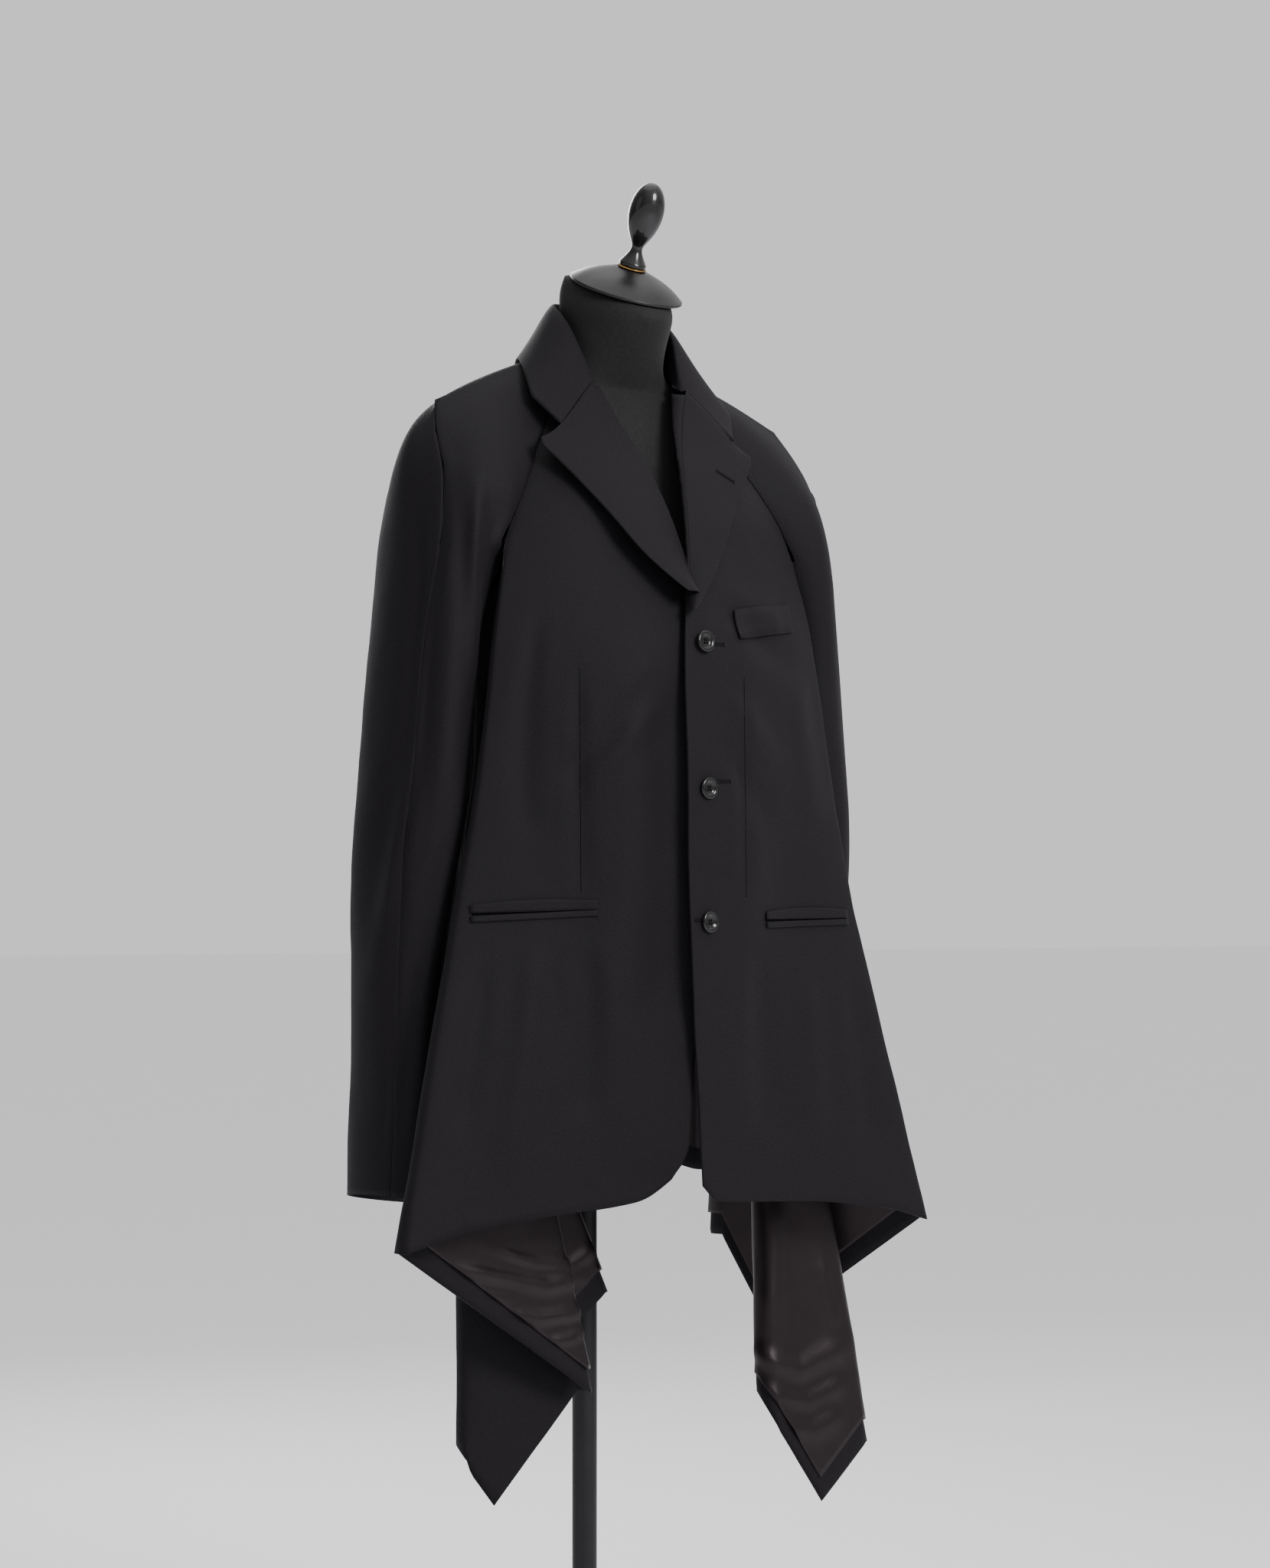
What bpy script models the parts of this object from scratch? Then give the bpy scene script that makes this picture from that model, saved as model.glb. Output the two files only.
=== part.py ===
"""Draped hem blazer on a limbless dress form.

Frame: metres, +Z up, +X the wearer's left, -Y the front, origin on the floor under the base.
Every sub-part is one object. Cloth is a sheet of points between named lines, given its
thickness by a Solidify modifier on its inner side.
"""

import bpy
import bmesh
from math import cos, sin, pi, radians, sqrt
from mathutils import Matrix, Vector

# Driving sizes
EYE = 0.89              # height of the level that all the tables below measure from
WOOL = 0.0016           # thickness of the wool cloth
LINING = 0.0010         # thickness of the satin lining
LINING_CLEAR = 0.0012   # satin to wool
LINING_START = 2        # the lining begins this many rows of cloth under the pockets
SEAM = 0.0003           # gap left at a seam or under a piece that lies on another
HEM_BAND = 0.022        # wool turned up inside the hem, left bare of lining
LAP = 0.0040            # how far each front edge leaves the middle surface where they overlap
LAP_WIDTH = 0.090       # over this distance from the centre line that shift fades out
BUTTON_R = 0.010
BUTTON_Z = (0.246, 0.112, -0.010)
BUTTON_X = 0.004
SIDES = {"right": -1, "left": 1}

# Colours (linear) and finishes
WOOL_BLACK = (0.018, 0.016, 0.019)
SATIN_BROWN = (0.020, 0.014, 0.013)
JERSEY_BLACK = (0.012, 0.012, 0.013)
LACQUER_BLACK = (0.006, 0.006, 0.007)
STEEL_BLACK = (0.015, 0.015, 0.016)

# Stations down the body, from the armhole to the pockets; the sixth column of each line is
# its hem. Heights are from eye level.
STATION_Z = (0.335, 0.250, 0.120, 0.000)
UNDERARM_DIP = 0.030            # the armhole's lowest point lies this far under its front end
FOLD_GROWTH = (0.15, 0.20, 0.30, 0.55, 1.00)
ROWS_BETWEEN = (1, 2, 2, 5)     # rows of cloth in each stretch between two stations

# Lines down one half of the body, front to back, x outwards from the centre line.
# name, fold radius, points before the next line, (x, y) at each station, hem (x, y, z)
FRONT_LINES_RIGHT = (
    ("edge", 0.0, 0, (0.004, -0.123), (-0.018, -0.148), (-0.018, -0.154), (-0.018, -0.157),
     (0.030, -0.152, -0.244)),
    ("corner", 0.0, 1, (0.014, -0.121), (-0.002, -0.148), (-0.002, -0.154), (0.004, -0.155),
     (0.052, -0.144, -0.262)),
    ("mid_front", 0.0, 1, (0.050, -0.115), (0.055, -0.143), (0.055, -0.149), (0.060, -0.146),
     (0.092, -0.139, -0.268)),
    ("dart", 0.0, 1, (0.100, -0.102), (0.108, -0.122), (0.115, -0.126), (0.120, -0.122),
     (0.150, -0.136, -0.272)),
    ("flare", 0.0, 1, (0.138, -0.086), (0.150, -0.102), (0.160, -0.106), (0.180, -0.107),
     (0.235, -0.126, -0.284)),
)
FRONT_LINES_LEFT = (
    ("edge", 0.0, 0, (0.004, -0.123), (-0.018, -0.148), (-0.018, -0.154), (-0.018, -0.157),
     (-0.004, -0.158, -0.250)),
    ("corner", 0.0, 1, (0.014, -0.121), (-0.002, -0.148), (-0.002, -0.154), (0.000, -0.155),
     (0.012, -0.156, -0.265)),
    ("mid_front", 0.0, 1, (0.050, -0.115), (0.055, -0.143), (0.055, -0.149), (0.060, -0.146),
     (0.060, -0.150, -0.268)),
    ("dart", 0.0, 1, (0.100, -0.102), (0.108, -0.122), (0.115, -0.126), (0.120, -0.122),
     (0.145, -0.138, -0.272)),
    ("flare", 0.0, 1, (0.138, -0.086), (0.150, -0.102), (0.160, -0.106), (0.180, -0.107),
     (0.240, -0.126, -0.284)),
)
TAIL_LINES_RIGHT = (
    ("fold_1", 0.007, 2, (0.1615, -0.0725), (0.1785, -0.083), (0.1965, -0.0865), (0.2223, -0.087),
     (0.295, -0.110, -0.300)),
    ("fold_2", 0.008, 1, (0.142, -0.030), (0.148, -0.034), (0.151, -0.036), (0.160, -0.046),
     (0.076, -0.084, -0.440)),
    ("tip", 0.0, 0, (0.1400, -0.020), (0.148, -0.022), (0.152, -0.024), (0.166, -0.032),
     (0.168, -0.066, -0.539)),
    ("fold_3", 0.009, 1, (0.1392, -0.010), (0.149, -0.011), (0.154, -0.012), (0.176, -0.018),
     (0.194, -0.044, -0.504)),
    ("seam", 0.0, 1, (0.1388, 0.000), (0.149, 0.000), (0.152, 0.000), (0.164, 0.000),
     (0.095, -0.010, -0.430)),
    ("fold_4", 0.008, 1, (0.1392, 0.012), (0.148, 0.012), (0.150, 0.014), (0.152, 0.022),
     (0.006, -0.004, -0.360)),
    ("fold_5", 0.012, 1, (0.1615, 0.0725), (0.158, 0.076), (0.158, 0.080), (0.170, 0.090),
     (0.200, 0.128, -0.262)),
)
TAIL_LINES_LEFT = (
    ("fold_1", 0.007, 2, (0.1615, -0.0725), (0.1785, -0.083), (0.1965, -0.0865), (0.2223, -0.087),
     (0.295, -0.110, -0.298)),
    ("fold_2", 0.006, 1, (0.143, -0.034), (0.152, -0.038), (0.158, -0.040), (0.172, -0.040),
     (0.205, -0.005, -0.390)),
    ("fold_3", 0.006, 1, (0.1412, -0.026), (0.1485, -0.031), (0.150, -0.034), (0.158, -0.053),
     (0.248, -0.075, -0.514)),
    ("tip", 0.0, 1, (0.1400, -0.018), (0.148, -0.023), (0.148, -0.026), (0.150, -0.044),
     (0.188, -0.082, -0.566)),
    ("fold_4", 0.008, 1, (0.1390, -0.008), (0.148, -0.012), (0.148, -0.016), (0.145, -0.029),
     (0.130, -0.072, -0.492)),
    ("seam", 0.0, 0, (0.1388, 0.000), (0.149, 0.000), (0.151, -0.006), (0.152, -0.010),
     (0.176, -0.010, -0.440)),
    ("fold_5", 0.006, 1, (0.1390, 0.008), (0.148, 0.010), (0.151, 0.010), (0.162, 0.010),
     (0.218, 0.045, -0.400)),
    ("fold_6", 0.006, 1, (0.1405, 0.022), (0.147, 0.024), (0.149, 0.028), (0.150, 0.034),
     (0.176, 0.078, -0.322)),
    ("fold_7", 0.012, 1, (0.1615, 0.0725), (0.158, 0.076), (0.158, 0.080), (0.170, 0.090),
     (0.200, 0.128, -0.262)),
)
BACK_LINES = (
    ("back_dart", 0.0, 2, (0.105, 0.108), (0.108, 0.112), (0.110, 0.110), (0.114, 0.126),
     (0.120, 0.160, -0.236)),
    ("centre_back", 0.0, 0, (0.0004, 0.125), (0.0004, 0.130), (0.0004, 0.122), (0.0004, 0.138),
     (0.0004, 0.168, -0.226)),
)

# Above the armhole: front edge (roll line) and front raglan seam, then centre back and back
# raglan seam, bottom to top. Each row is (x, y, z).
ROLL_LINE = ((0.0075, -0.113, 0.360), (0.0125, -0.101, 0.385), (0.0175, -0.087, 0.412),
             (0.0235, -0.072, 0.437), (0.033, -0.054, 0.463), (0.046, -0.035, 0.493))
RAGLAN_FRONT = ((0.1505, -0.0717, 0.360), (0.1364, -0.0678, 0.385), (0.1203, -0.0578, 0.412),
                (0.1064, -0.0456, 0.437), (0.085, -0.0350, 0.466), (0.061, -0.0210, 0.503))
CENTRE_BACK = ((0.0004, 0.124, 0.360), (0.0004, 0.121, 0.385), (0.0004, 0.116, 0.412),
               (0.0004, 0.109, 0.437), (0.0004, 0.096, 0.468), (0.0004, 0.075, 0.506))
RAGLAN_BACK = ((0.1505, 0.0775, 0.360), (0.1364, 0.0790, 0.385), (0.1203, 0.0760, 0.412),
               (0.1064, 0.0700, 0.437), (0.084, 0.0620, 0.468), (0.056, 0.0555, 0.505))
CHEST_BULGE = 0.012
BACK_BULGE = 0.010
BULGE_SPAN = 0.110              # rows shorter than this bulge less, in proportion
ARMHOLE_HALF = 0.0725           # half the armhole's length under the arm
ARMHOLE_CLEAR = 0.0012          # body edge to sleeve, one lying beside the other there

# Sleeve: rings from the armhole to the cuff. centre x, centre y, half width x, half width y, z
SLEEVE_RINGS = ((0.1856, 0.000, 0.0470, 0.082, 0.335), (0.1960, 0.000, 0.0430, 0.076, 0.290),
                (0.2060, 0.001, 0.0400, 0.072, 0.240), (0.2105, 0.003, 0.0450, 0.075, 0.140),
                (0.2235, 0.003, 0.0420, 0.070, 0.040), (0.2330, 0.002, 0.0310, 0.062, -0.050),
                (0.2370, 0.001, 0.0300, 0.060, -0.150), (0.2415, -0.001, 0.0300, 0.058, -0.268))
SLEEVE_STEPS = (1, 1, 1, 2, 1, 1, 2)
LEFT_CUFF_BACK = 0.026          # the left sleeve hangs further back, behind its front panel
OVERARM_ANGLE = 45.0
RAGLAN_ANGLE = 117.5            # the raglan seams meet the armhole ring here
RIDGE_SEAM = 0.0009             # opening at a seam where two pieces meet at an angle
CUFF_OUTER_RISE = 0.012         # the cuff's outer side ends this much above its inner side
# Shoulder line from the armhole's level up to the collar, and the outer and rear shoulder
SHOULDER_LINE = ((0.2140, -0.0530, 0.372), (0.2080, -0.0440, 0.405), (0.2050, -0.0200, 0.440),
                 (0.1930, 0.000, 0.470), (0.1420, 0.006, 0.497), (0.0710, 0.012, 0.524))
SHOULDER_OUTER = ((0.2310, 0.002, 0.372), (0.2260, 0.005, 0.412), (0.2140, 0.020, 0.440),
                  (0.1880, 0.030, 0.465), (0.1360, 0.032, 0.491), (0.0690, 0.028, 0.521))
SHOULDER_REAR = ((0.2060, 0.072, 0.368), (0.1980, 0.070, 0.398), (0.1800, 0.068, 0.425),
                 (0.1560, 0.061, 0.452), (0.1150, 0.054, 0.481), (0.0640, 0.043, 0.515))
SHOULDER_FRONT = ((0.1910, -0.0800, 0.360), (0.1790, -0.0740, 0.392), (0.1680, -0.0560, 0.425),
                  (0.1520, -0.0340, 0.457), (0.1140, -0.0140, 0.488), (0.0680, -0.0040, 0.516))

# Collar, centre back to gorge: foot of the stand, fold at the top, edge of the fall
COLLAR_ROWS = (
    ((0.000, 0.0720, 0.5050), (0.000, 0.0470, 0.581), (0.000, 0.0980, 0.503)),
    ((0.037, 0.0625, 0.5050), (0.036, 0.0340, 0.578), (0.053, 0.0790, 0.510)),
    ((0.0640, 0.0330, 0.5200), (0.0535, 0.0100, 0.570), (0.0840, 0.0310, 0.5220)),
    ((0.0662, 0.0020, 0.5180), (0.0570, -0.0160, 0.552), (0.1020, -0.0100, 0.504)),
    ((0.0592, -0.0186, 0.5050), (0.0520, -0.0320, 0.522), (0.1110, -0.0380, 0.474)),
    ((0.0468, -0.0378, 0.4965), (0.0485, -0.0470, 0.4905), (0.0960, -0.0640, 0.447)),
)
COLLAR_WALL = 1.2 * WOOL
COLLAR_STEPS = 2
GORGE_GAP = 0.0008              # collar's front end to the lapel's top row, centre to centre
# Lapel, bottom to gorge: outer edge (x, y, z); its inner side is the roll line
LAPEL_EDGE = ((0.000, -0.1555, 0.284), (0.018, -0.1560, 0.292), (0.052, -0.136, 0.325),
              (0.0760, -0.1180, 0.360), (0.1060, -0.0885, 0.405), (0.1230, -0.0710, 0.4300),
              (0.0950, -0.0665, 0.441))
LAPEL_ROLL = ((-0.006, -0.1500, 0.280), (-0.003, -0.1460, 0.292), (0.003, -0.1300, 0.325),
              (0.0075, -0.1175, 0.360), (0.0165, -0.0960, 0.405), (0.0265, -0.0780, 0.434),
              (0.0490, -0.0490, 0.486))
LAPEL_CROWN = 0.005
LAPEL_LIFT = Vector((0.0, 0.0004, 0.0002))
LAPEL_FOOT_LIFT = -0.0054      # the foot of a lapel rolls this far forward of its top
LAPEL_START = {"right": 0.95, "left": 0.60}     # how far up the table each lapel begins

# Pockets on the fronts: x range, and height at both ends
POCKET_X = {"right": (0.098, 0.212), "left": (0.083, 0.206)}
POCKET_Z = {"right": (0.0020, -0.0030), "left": (-0.0085, -0.0065)}
JET_HEIGHT = 0.0055
JET_GAP = 0.0050
JET_THICK = 0.0018
STRIP_LIFT = 0.0007            # a strip clears the fronts' facets by this
WELT_X = (0.0505, 0.136)
WELT_Z = (0.252, 0.263)
WELT_HEIGHT = 0.027

# Dress form: z, half width, front depth, back depth
FORM_RINGS = ((-0.075, 0.092, 0.070, 0.080), (-0.066, 0.112, 0.086, 0.096),
              (-0.030, 0.124, 0.096, 0.106), (0.030, 0.120, 0.090, 0.098),
              (0.100, 0.108, 0.083, 0.086), (0.170, 0.108, 0.092, 0.088),
              (0.240, 0.118, 0.112, 0.092), (0.300, 0.116, 0.106, 0.094),
              (0.350, 0.124, 0.084, 0.094), (0.400, 0.136, 0.064, 0.086),
              (0.445, 0.140, 0.048, 0.070), (0.4755, 0.122, 0.0334, 0.056),
              (0.4914, 0.092, 0.0278, 0.050), (0.5003, 0.0632, 0.0328, 0.046),
              (0.512, 0.053, 0.042, 0.043), (0.531, 0.051, 0.056, 0.040),
              (0.549, 0.0515, 0.066, 0.037), (0.570, 0.0543, 0.0745, 0.0376),
              (0.5846, 0.0495, 0.0730, 0.0240))
NECK_LEVEL = 0.512              # above this the neck's rings tilt, up to the cap's slope
NECK_TOP = Vector((0.003, -0.022, 0.585))
CAP_R = 0.0555
CAP_EDGE = 0.005
CAP_CROWN = 0.0175
CAP_PITCH = 24.9
CAP_ROLL = 1.5
POLE_R = 0.0125
POLE_Y = 0.045
BASE_R = 0.170
BASE_EDGE = 0.008
BASE_CROWN = 0.016
# Finial profile above the neck cap: radius, height along its axis
FINIAL_PROFILE = ((0.0000, 0.0000), (0.0132, 0.0000), (0.0136, 0.0030), (0.0100, 0.0080),
                  (0.0060, 0.0140), (0.0052, 0.0185), (0.0075, 0.0230), (0.0125, 0.0310),
                  (0.0165, 0.0420), (0.0178, 0.0530), (0.0160, 0.0650), (0.0110, 0.0745),
                  (0.0050, 0.0790), (0.0000, 0.0800))


def clear_scene():
    for thing in list(bpy.data.objects):
        bpy.data.objects.remove(thing, do_unlink=True)


def finish(name, colour, roughness, metallic=0.0):
    material = bpy.data.materials.new(name)
    material.use_nodes = True
    shader = material.node_tree.nodes["Principled BSDF"]
    shader.inputs["Base Color"].default_value = (*colour, 1.0)
    shader.inputs["Roughness"].default_value = roughness
    shader.inputs["Metallic"].default_value = metallic
    return material


def add_object(name, mesh, material):
    thing = bpy.data.objects.new(name, mesh)
    thing.data.materials.append(material)
    bpy.context.collection.objects.link(thing)
    return thing


def smooth_step(t):
    t = min(max(t, 0.0), 1.0)
    return t * t * (3.0 - 2.0 * t)


def line_through(points, t):
    """Point at t (0 to len-1) on straight lines from point to point."""
    i = min(int(t), len(points) - 2)
    return points[i].lerp(points[i + 1], t - i)


def curve_through(points, t):
    """Point at t (0 to len-1) on a smooth curve through the points."""
    last = len(points) - 1
    i = min(int(t), last - 1)
    f = t - i
    a = points[i]
    b = points[i + 1]
    before = points[i - 1] if i > 0 else a * 2 - b
    after = points[i + 2] if i + 2 <= last else b * 2 - a
    tangent_a = (b - before) * 0.5
    tangent_b = (after - a) * 0.5
    f2 = f * f
    f3 = f2 * f
    return (a * (2 * f3 - 3 * f2 + 1) + tangent_a * (f3 - 2 * f2 + f)
            + b * (3 * f2 - 2 * f3) + tangent_b * (f3 - f2))


# Body cloth

def round_fold(before, key, after, radius):
    """Five plan points round one fold whose outermost point is the key."""
    into = (key - before).normalized()
    out = (after - key).normalized()
    along = into + out
    if along.length < 0.15:
        along = Vector((-(out - into).y, (out - into).x, 0.0))
        if along.dot(out) < 0:
            along.negate()
    along.normalize()
    inward = out - into
    inward -= along * inward.dot(along)
    turn = into.angle(out, 0.0)
    inward = inward.normalized() if inward.length > 1e-6 else Vector((0, 0, 0))
    spread = 0.0012 + radius * 0.12
    points = []
    for k in (-2, -1, 0, 1, 2):
        angle = 0.5 * turn * k / 2
        rise = radius * (1.0 - cos(angle))
        points.append(key + inward * rise + along * (radius * sin(angle) + spread * k))
    return points


def columns_at(lines, station):
    """All plan points of the body's cloth at one station, front edge to centre back."""
    keys = [Vector((line[3 + station][0], line[3 + station][1], 0.0)) for line in lines]
    groups = []
    for i, line in enumerate(lines):
        radius = line[1] * FOLD_GROWTH[station]
        if line[1] == 0.0:
            groups.append([keys[i]])
        else:
            groups.append(round_fold(keys[i - 1], keys[i], keys[i + 1], radius))
    for i, line in enumerate(lines):
        if station == 4:
            z = line[7][2]
        else:
            z = STATION_Z[station]
        for point in groups[i]:
            point.z = z
    columns = []
    for i, line in enumerate(lines):
        columns.extend(groups[i])
        if i + 1 == len(lines):
            break
        start = groups[i][-1]
        end = groups[i + 1][0]
        for k in range(line[2]):
            columns.append(start.lerp(end, (k + 1) / (line[2] + 1)))
    return columns


def column_of(lines, name):
    """Index of a line's middle column."""
    count = 0
    for line in lines:
        width = 1 if line[1] == 0.0 else 5
        if line[0] == name:
            return count + width // 2
        count += width + line[2]
    raise ValueError(name)


def armhole_dip(y):
    """Drop of the armhole's edge below its front and back ends, at a distance y from its middle."""
    return UNDERARM_DIP * smooth_step(1.35 * (1.0 - abs(y) / ARMHOLE_HALF))


def fit_armhole(columns, first, last):
    """The body's top edge runs just inside the sleeve's first ring, and dips under it."""
    cx, cy, hx, hy, z = SLEEVE_RINGS[0]
    for c in range(first, last + 1):
        point = columns[c]
        reach = hx * sqrt(max(0.0, 1.0 - ((point.y - cy) / hy) ** 2))
        point.x = min(point.x, cx - reach - ARMHOLE_CLEAR)
        point.z -= armhole_dip(point.y)


def lap_shift(point, side):
    fade = smooth_step(1.0 - max(point.x, 0.0) / LAP_WIDTH)
    shifted = point.copy()
    shifted.y -= SIDES[side] * LAP * fade if point.y < 0 else 0.0
    return shifted


def body_grid(side):
    """Rows of points of one half of the body, armhole level down to the hem."""
    front = FRONT_LINES_RIGHT if side == "right" else FRONT_LINES_LEFT
    tail = TAIL_LINES_RIGHT if side == "right" else TAIL_LINES_LEFT
    lines = front + tail + BACK_LINES
    stations = [columns_at(lines, s) for s in range(5)]
    first = column_of(lines, "fold_1")
    last = column_of(lines, tail[-1][0])
    fit_armhole(stations[0], first, last)
    rows = []
    for s, steps in enumerate(ROWS_BETWEEN):
        for k in range(steps):
            t = s + k / steps
            rows.append([curve_through([st[c] for st in stations], t) for c in range(len(stations[0]))])
    rows.append(stations[4])
    marks = {"armhole_front": first, "armhole_back": last,
             "side_seam": column_of(lines, "seam"), "lines": lines}
    return rows, marks


def upper_rows(edge, seam, count, bulge, outward):
    """Rows above the armhole between a centre line and a raglan seam."""
    rows = []
    for a, b in zip(edge, seam):
        a = Vector(a)
        b = Vector(b)
        row = []
        swell = bulge * min(1.0, (b - a).length / BULGE_SPAN)
        for c in range(count):
            t = c / (count - 1)
            point = a.lerp(b, t)
            point.y += outward * swell * 4.0 * t * (1.0 - t)
            row.append(point)
        rows.append(row)
    return rows


def front_rows(side):
    rows, marks = body_grid(side)
    arm = marks["armhole_front"]
    seam = marks["side_seam"]
    lower = [row[:seam + 1] for row in rows]
    upper = upper_rows(ROLL_LINE, RAGLAN_FRONT, arm + 1, CHEST_BULGE, -1.0)
    upper.reverse()
    grid = [row + [None] * (seam - arm) for row in upper] + lower
    return [[lap_shift(p, side) if p is not None else None for p in row] for row in grid]


def back_rows(side):
    rows, marks = body_grid(side)
    arm = marks["armhole_back"]
    seam = marks["side_seam"]
    width = len(rows[0])
    lower = [row[seam:] for row in rows]
    for row in lower:
        step = (row[1] - row[0]).normalized() * (2.0 * SEAM)
        row[0] = row[0] + step
    upper = upper_rows(RAGLAN_BACK, CENTRE_BACK, width - arm, BACK_BULGE, 1.0)
    upper.reverse()
    return [[None] * (arm - seam) + row for row in upper] + lower


def sheet_mesh(name, grid, side):
    """A single layer of quads; grid points are own-side x, y and height from eye level."""
    sign = SIDES.get(side, 1)
    mesh = bpy.data.meshes.new(name)
    bm = bmesh.new()
    verts = [[None if p is None else bm.verts.new((sign * p.x, p.y, p.z + EYE)) for p in row]
             for row in grid]
    for r in range(len(grid) - 1):
        for c in range(len(grid[r]) - 1):
            corners = [verts[r][c], verts[r + 1][c], verts[r + 1][c + 1], verts[r][c + 1]]
            if any(v is None for v in corners):
                continue
            if sign < 0:
                corners.reverse()
            bm.faces.new(corners)
    bm.to_mesh(mesh)
    bm.free()
    return mesh


def cloth(name, grid, side, material, thickness=WOOL, inwards=True):
    thing = add_object(name, sheet_mesh(name, grid, side), material)
    wall = thing.modifiers.new("wall", "SOLIDIFY")
    wall.thickness = thickness
    wall.offset = -1.0 if inwards else 1.0
    wall.use_even_offset = False
    return thing


def grid_normals(grid):
    """Outward normal at each point of a full grid, own-side coordinates."""
    normals = []
    for r, row in enumerate(grid):
        line = []
        for c in range(len(row)):
            above = grid[max(r - 1, 0)][c]
            below = grid[min(r + 1, len(grid) - 1)][c]
            left = row[max(c - 1, 0)]
            right = row[min(c + 1, len(row) - 1)]
            line.append((below - above).cross(right - left).normalized())
        normals.append(line)
    return normals


def tail_lining(side, material):
    """Satin inside the draped tail, stopping short of the hem by the wool's turned band."""
    rows, marks = body_grid(side)
    start = marks["armhole_front"] - 2
    stop = marks["armhole_back"] - 3
    first_row = sum(ROWS_BETWEEN[:3]) + LINING_START
    part = [row[start:stop + 1] for row in rows[first_row:]]
    normals = grid_normals(part)
    depth = WOOL + LINING_CLEAR
    inner = [[p - n * depth for p, n in zip(row, line)] for row, line in zip(part, normals)]
    bottom = []
    for low, high in zip(inner[-1], inner[-2]):
        up = (high - low)
        bottom.append(low + up * min(0.6, HEM_BAND / up.length))
    inner[-1] = bottom
    return cloth("tail_lining_" + side, inner, side, material, LINING)


# Sleeves

def ellipse_point(ring, degrees):
    """Point of a sleeve ring: 0 outwards, 90 to the front, 180 inwards."""
    cx, cy, hx, hy, z = ring
    angle = radians(degrees)
    point = Vector((cx + hx * cos(angle), cy - hy * sin(angle), z))
    if z >= SLEEVE_RINGS[0][4] and cos(angle) < 0.0:
        point.z -= armhole_dip(point.y)
    if z <= SLEEVE_RINGS[-1][4]:
        point.z += CUFF_OUTER_RISE * 0.5 * (1.0 + cos(angle - radians(30.0)))
    return point


def sleeve_rings():
    """The table's rings with those between them."""
    full = []
    for i, steps in enumerate(SLEEVE_STEPS):
        for k in range(steps):
            t = k / steps
            full.append(tuple(a + (b - a) * t for a, b in zip(SLEEVE_RINGS[i], SLEEVE_RINGS[i + 1])))
    full.append(SLEEVE_RINGS[-1])
    return full


def sleeve_angles(which):
    """Angles of the columns, and how many of them reach up over the shoulder."""
    over, under = (6, 3) if which == "front" else (8, 4)
    sign = 1.0 if which == "front" else -1.0
    end = sign * RAGLAN_ANGLE
    inner = sign * 179.7
    angles = [OVERARM_ANGLE + (end - OVERARM_ANGLE) * k / over for k in range(over + 1)]
    angles += [end + (inner - end) * (k + 1) / under for k in range(under)]
    return angles, over + 1


def sleeve_piece(which, side):
    """Rows from the collar down to the cuff, columns from the shoulder line to the underarm."""
    angles, over = sleeve_angles(which)
    rows = []
    for i in range(len(SHOULDER_LINE) - 1, -1, -1):
        ridge = Vector(SHOULDER_LINE[i])
        if which == "front":
            control = [ridge, Vector(SHOULDER_FRONT[i]), Vector(RAGLAN_FRONT[i])]
        else:
            control = [ridge, Vector(SHOULDER_OUTER[i]), Vector(SHOULDER_REAR[i]), Vector(RAGLAN_BACK[i])]
        span = len(control) - 1
        row = [curve_through(control, span * c / (over - 1)) for c in range(over)]
        part_seam(row)
        rows.append(row + [None] * (len(angles) - over))
    for ring in sleeve_rings():
        row = [ellipse_point(ring, degrees) for degrees in angles]
        if side == "left":
            back = LEFT_CUFF_BACK * smooth_step((0.10 - ring[4]) / 0.25)
            row = [point + Vector((0, back, 0)) for point in row]
        row[0] = row[0] + (row[1] - row[0]).normalized() * SEAM
        rows.append(row)
    return rows


def part_seam(row):
    """Open the shoulder and raglan seams, wide enough for the walls' inner corners."""
    row[0] = row[0] + (row[1] - row[0]).normalized() * RIDGE_SEAM
    row[-1] = row[-1] + (row[-2] - row[-1]).normalized() * RIDGE_SEAM


def sleeve(which, side, material):
    rows = sleeve_piece(which, side)
    if which == "front":
        rows = [list(reversed(row)) for row in rows]
    return cloth("sleeve_%s_%s" % (which, side), rows, side, material)


# Collar and lapels

def collar_rows():
    """Rows of the collar's inner face, from one front end round the neck to the other."""
    half = [[Vector(p) for p in row] for row in COLLAR_ROWS]
    mirrored = [[Vector((-p.x, p.y, p.z)) for p in row] for row in half[:0:-1]]
    keys = mirrored + half
    rows = []
    for k in range((len(keys) - 1) * COLLAR_STEPS + 1):
        t = k / COLLAR_STEPS
        foot, fold, edge = (curve_through([row[i] for row in keys], t) for i in range(3))
        if t < 1.0 or t > len(keys) - 2:
            edge = line_through([row[2] for row in keys], t)
        out = Vector((edge.x - fold.x, edge.y - fold.y, 0.0)).normalized()
        rows.append([foot, foot.lerp(fold, 0.6), fold + out * 0.0005,
                     fold + out * 0.0045 + Vector((0, 0, 0.0010)),
                     fold.lerp(edge, 0.28) + out * 0.0035 + Vector((0, 0, 0.0010)),
                     fold.lerp(edge, 0.65) + Vector((0, 0, 0.0015)), edge])
    return rows


def collar(material):
    return cloth("collar", collar_rows(), "left", material, COLLAR_WALL, inwards=False)


def gorge_row(count):
    """The lapel's top row: it follows the collar's front end, a seam's gap in front of it."""
    rows = collar_rows()
    end = rows[-1][3:]
    before = rows[-2][3:]
    row = []
    for c in range(count):
        t = (len(end) - 1) * c / (count - 1)
        point = curve_through(end, t)
        ahead = (point - curve_through(before, t)).normalized()
        along = (end[-1] - end[0]).normalized()
        normal = ahead.cross(along).normalized()
        if normal.y > 0:
            normal = -normal
        row.append(point + normal * COLLAR_WALL + ahead * GORGE_GAP)
    return row


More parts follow.
